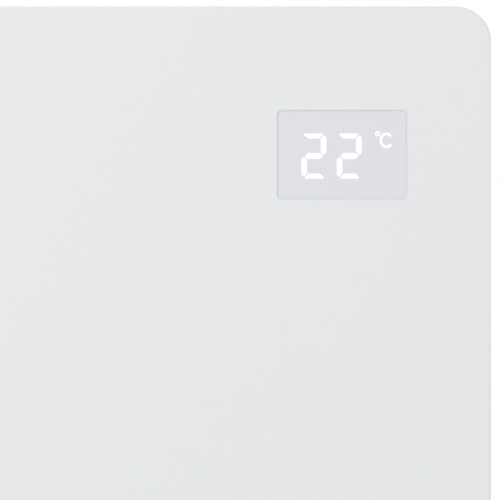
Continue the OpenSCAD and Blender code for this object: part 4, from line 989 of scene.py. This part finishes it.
# %% Clip the fuse in
CLIP = {"radii": (2.95, 2.95), "stroke": 0.4, "start": 125, "sweep": 290}
CLIP_WIDTH = 4
CLIP_AT = 7.5
fuse_middle = (fuse_low + fuse_high) / 2
fuse_axis = board_low.y - 4 * MM
clips = bmesh.new()
for side in (-1, 1):
    before = set(clips.verts)
    arc(clips, **CLIP)
    fresh = [f for f in clips.faces if not before.intersection(f.verts)]
    thicken(clips, fresh, CLIP_WIDTH)
    made = [v for v in clips.verts if v not in before]
    bmesh.ops.translate(clips, verts=made, vec=(0, 0, side * CLIP_AT - CLIP_WIDTH / 2))
along_fuse = Matrix.Translation((fuse_middle.x, fuse_axis, fuse_middle.z)) @ Matrix.Rotation(
    math.pi, 4, "X")
to_scene("fuse_clips", clips, along_fuse, "heater", tin)

# %% [markdown]
# ## The back of the display board
# A display board carries its driver chip on the back, over a row of solder joints from the digits
# on its front. The back faces the wall, so a ray is sent from behind to find it.

# %% Fill the display board
DRIVER_AT = (-14, 4)
DRIVER_PITCH = 1.1
JOINT_PITCH = 3
FIRST_JOINT = (-8, -9)
display_low, display_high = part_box("display_board")
display_middle = (display_low + display_high) / 2
on_display_back = seat("display_board", (display_middle.x, 0, display_middle.z), (0, -1, 0), 0)
driver = bmesh.new()
block(driver, (12, 7.4, 2.2), (*DRIVER_AT, 0.25))
to_scene("display_driver", driver, on_display_back, "heater", chip_resin)
solder = bmesh.new()
x, y = DRIVER_AT
for along in [(step - 4.5) * DRIVER_PITCH for step in range(10)]:
    for side in (-1, 1):
        block(solder, (0.4, 1.5, 0.3), (x + along, y + side * 4.2, 0), 0)
x, y = FIRST_JOINT
for step in range(8):
    block(solder, (2.0, 1.2, 0.6), (x + JOINT_PITCH * step, y, 0), 0)
to_scene("display_solder", solder, on_display_back, "heater", tin)

# %% [markdown]
# ## The socket of the flat cable
# The flat cable plugs into a socket on that board. Four walls with rounded edges stand round the
# cable's end, which is simpler than cutting a slot into a block and looks the same.

# %% Plug the cable in
SOCKET_Z = 36.5 * MM
BEHIND = -0.02
SOCKET_HEIGHT = 5
cable_low, cable_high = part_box("display_ribbon")
on_cable_end = seat(
    "display_board", ((cable_low.x + cable_high.x) / 2, BEHIND, SOCKET_Z), (0, -1, 0), 0.01)
socket = bmesh.new()
for side in (-1, 1):
    block(socket, (15, 1.6, SOCKET_HEIGHT), (0, side * 1.5, 0))
for side in (-1, 1):
    block(socket, (1.2, 4.2, SOCKET_HEIGHT), (side * 7.2, 0, 0))
to_scene("cable_socket", socket, on_cable_end, "heater", chip_resin)

# %% [markdown]
# ## The floor
# The heater is shown on white, and stands on a plain pale floor at the height of its lower edge.
# The floor is a wide disc, so its far edge is a soft curve in a picture from the side. It belongs
# to the stage and not to the heater.

# %% Lay the floor
FLOOR_RADIUS = 1.6
floor_mesh = bmesh.new()
bmesh.ops.create_circle(floor_mesh, cap_ends=True, segments=96, radius=FLOOR_RADIUS)
bmesh.ops.translate(floor_mesh, verts=floor_mesh.verts, vec=(0, 0, cad_box[0].z))
floor_data = bpy.data.meshes.new("floor")
floor_mesh.to_mesh(floor_data)
floor_mesh.free()
floor = bpy.data.objects.new("floor", floor_data)
bpy.context.scene.collection.objects.link(floor)
pale = Finish("pale_floor", (0.80, 0.80, 0.80), 0.7)
pale.vary_roughness(pale.noise(12, 2.0), 0.05)
floor_data.materials.append(pale.material)
print("floor at", round(cad_box[0].z, 3), "m")

# %% [markdown]
# ## The sky
# The world lights the heater softly from all sides. The camera sees it as plain white, and so do
# reflections, but as a lamp it's dimmer. Light Path's rays tell these uses apart, and their sum
# picks between two backgrounds.

# %% Set the world
SKY_LIGHT = 0.80
SKY_WHITE = 1.0
world = bpy.data.worlds.new("studio")
world.use_nodes = True
bpy.context.scene.world = world
sky = Tree(world.node_tree)
sky.tree.nodes.clear()
camera_ray, glossy_ray, clear_ray = [
    sky.node("ShaderNodeLightPath", output=f"Is {kind} Ray")
    for kind in ("Camera", "Glossy", "Transmission")]
seen = sky.node("ShaderNodeMath", {"operation": "ADD", "use_clamp": True}, {
    0: camera_ray + glossy_ray, 1: clear_ray})
dim, white = [
    sky.node("ShaderNodeBackground", {}, {"Color": (1, 1, 1, 1), "Strength": strength})
    for strength in (SKY_LIGHT, SKY_WHITE)]
both = sky.node("ShaderNodeMixShader", {}, {0: seen, 1: dim, 2: white})
surface = sky.tree.nodes.new("ShaderNodeOutputWorld")
sky.tree.links.new(both.socket, surface.inputs["Surface"])
print("world with", len(sky.tree.nodes), "nodes")

# %% [markdown]
# ## The lamps
# A soft lamp at the upper left gives the slow fall of light over the plate and the thin shadow
# inside the window. A weak one at the right keeps the casing's side from going grey, and one
# behind the heater is for pictures of its back. All three are round, aim at the same point as
# the camera, and don't show themselves.

# %% Hang the lamps
LAMPS = {
    "key_lamp": ((-1.0, -1.05, 0.52), 0.35, 6.6),
    "fill_lamp": ((1.3, -0.7, 0.25), 0.8, 1.5),
    "back_lamp": ((1.2, 2.2, 1.4), 1.0, 18),
}
for name, (place, width, power) in LAMPS.items():
    light = bpy.data.lights.new(name, "AREA")
    light.shape = "DISK"
    light.size = width
    light.energy = power
    lamp = bpy.data.objects.new(name, light)
    lamp.location = place
    lamp.rotation_euler = (aim - Vector(place)).to_track_quat("-Z", "Y").to_euler()
    lamp.visible_camera = False
    bpy.context.scene.collection.objects.link(lamp)
    print(name, power, "W")

# %% [markdown]
# ## The last look
# Every solid should have a finish by now, so the list of bare ones is printed and should be
# empty.

# %% Check that nothing was left bare, and finish
print("bare solids:", sorted(set(solids) - finished))
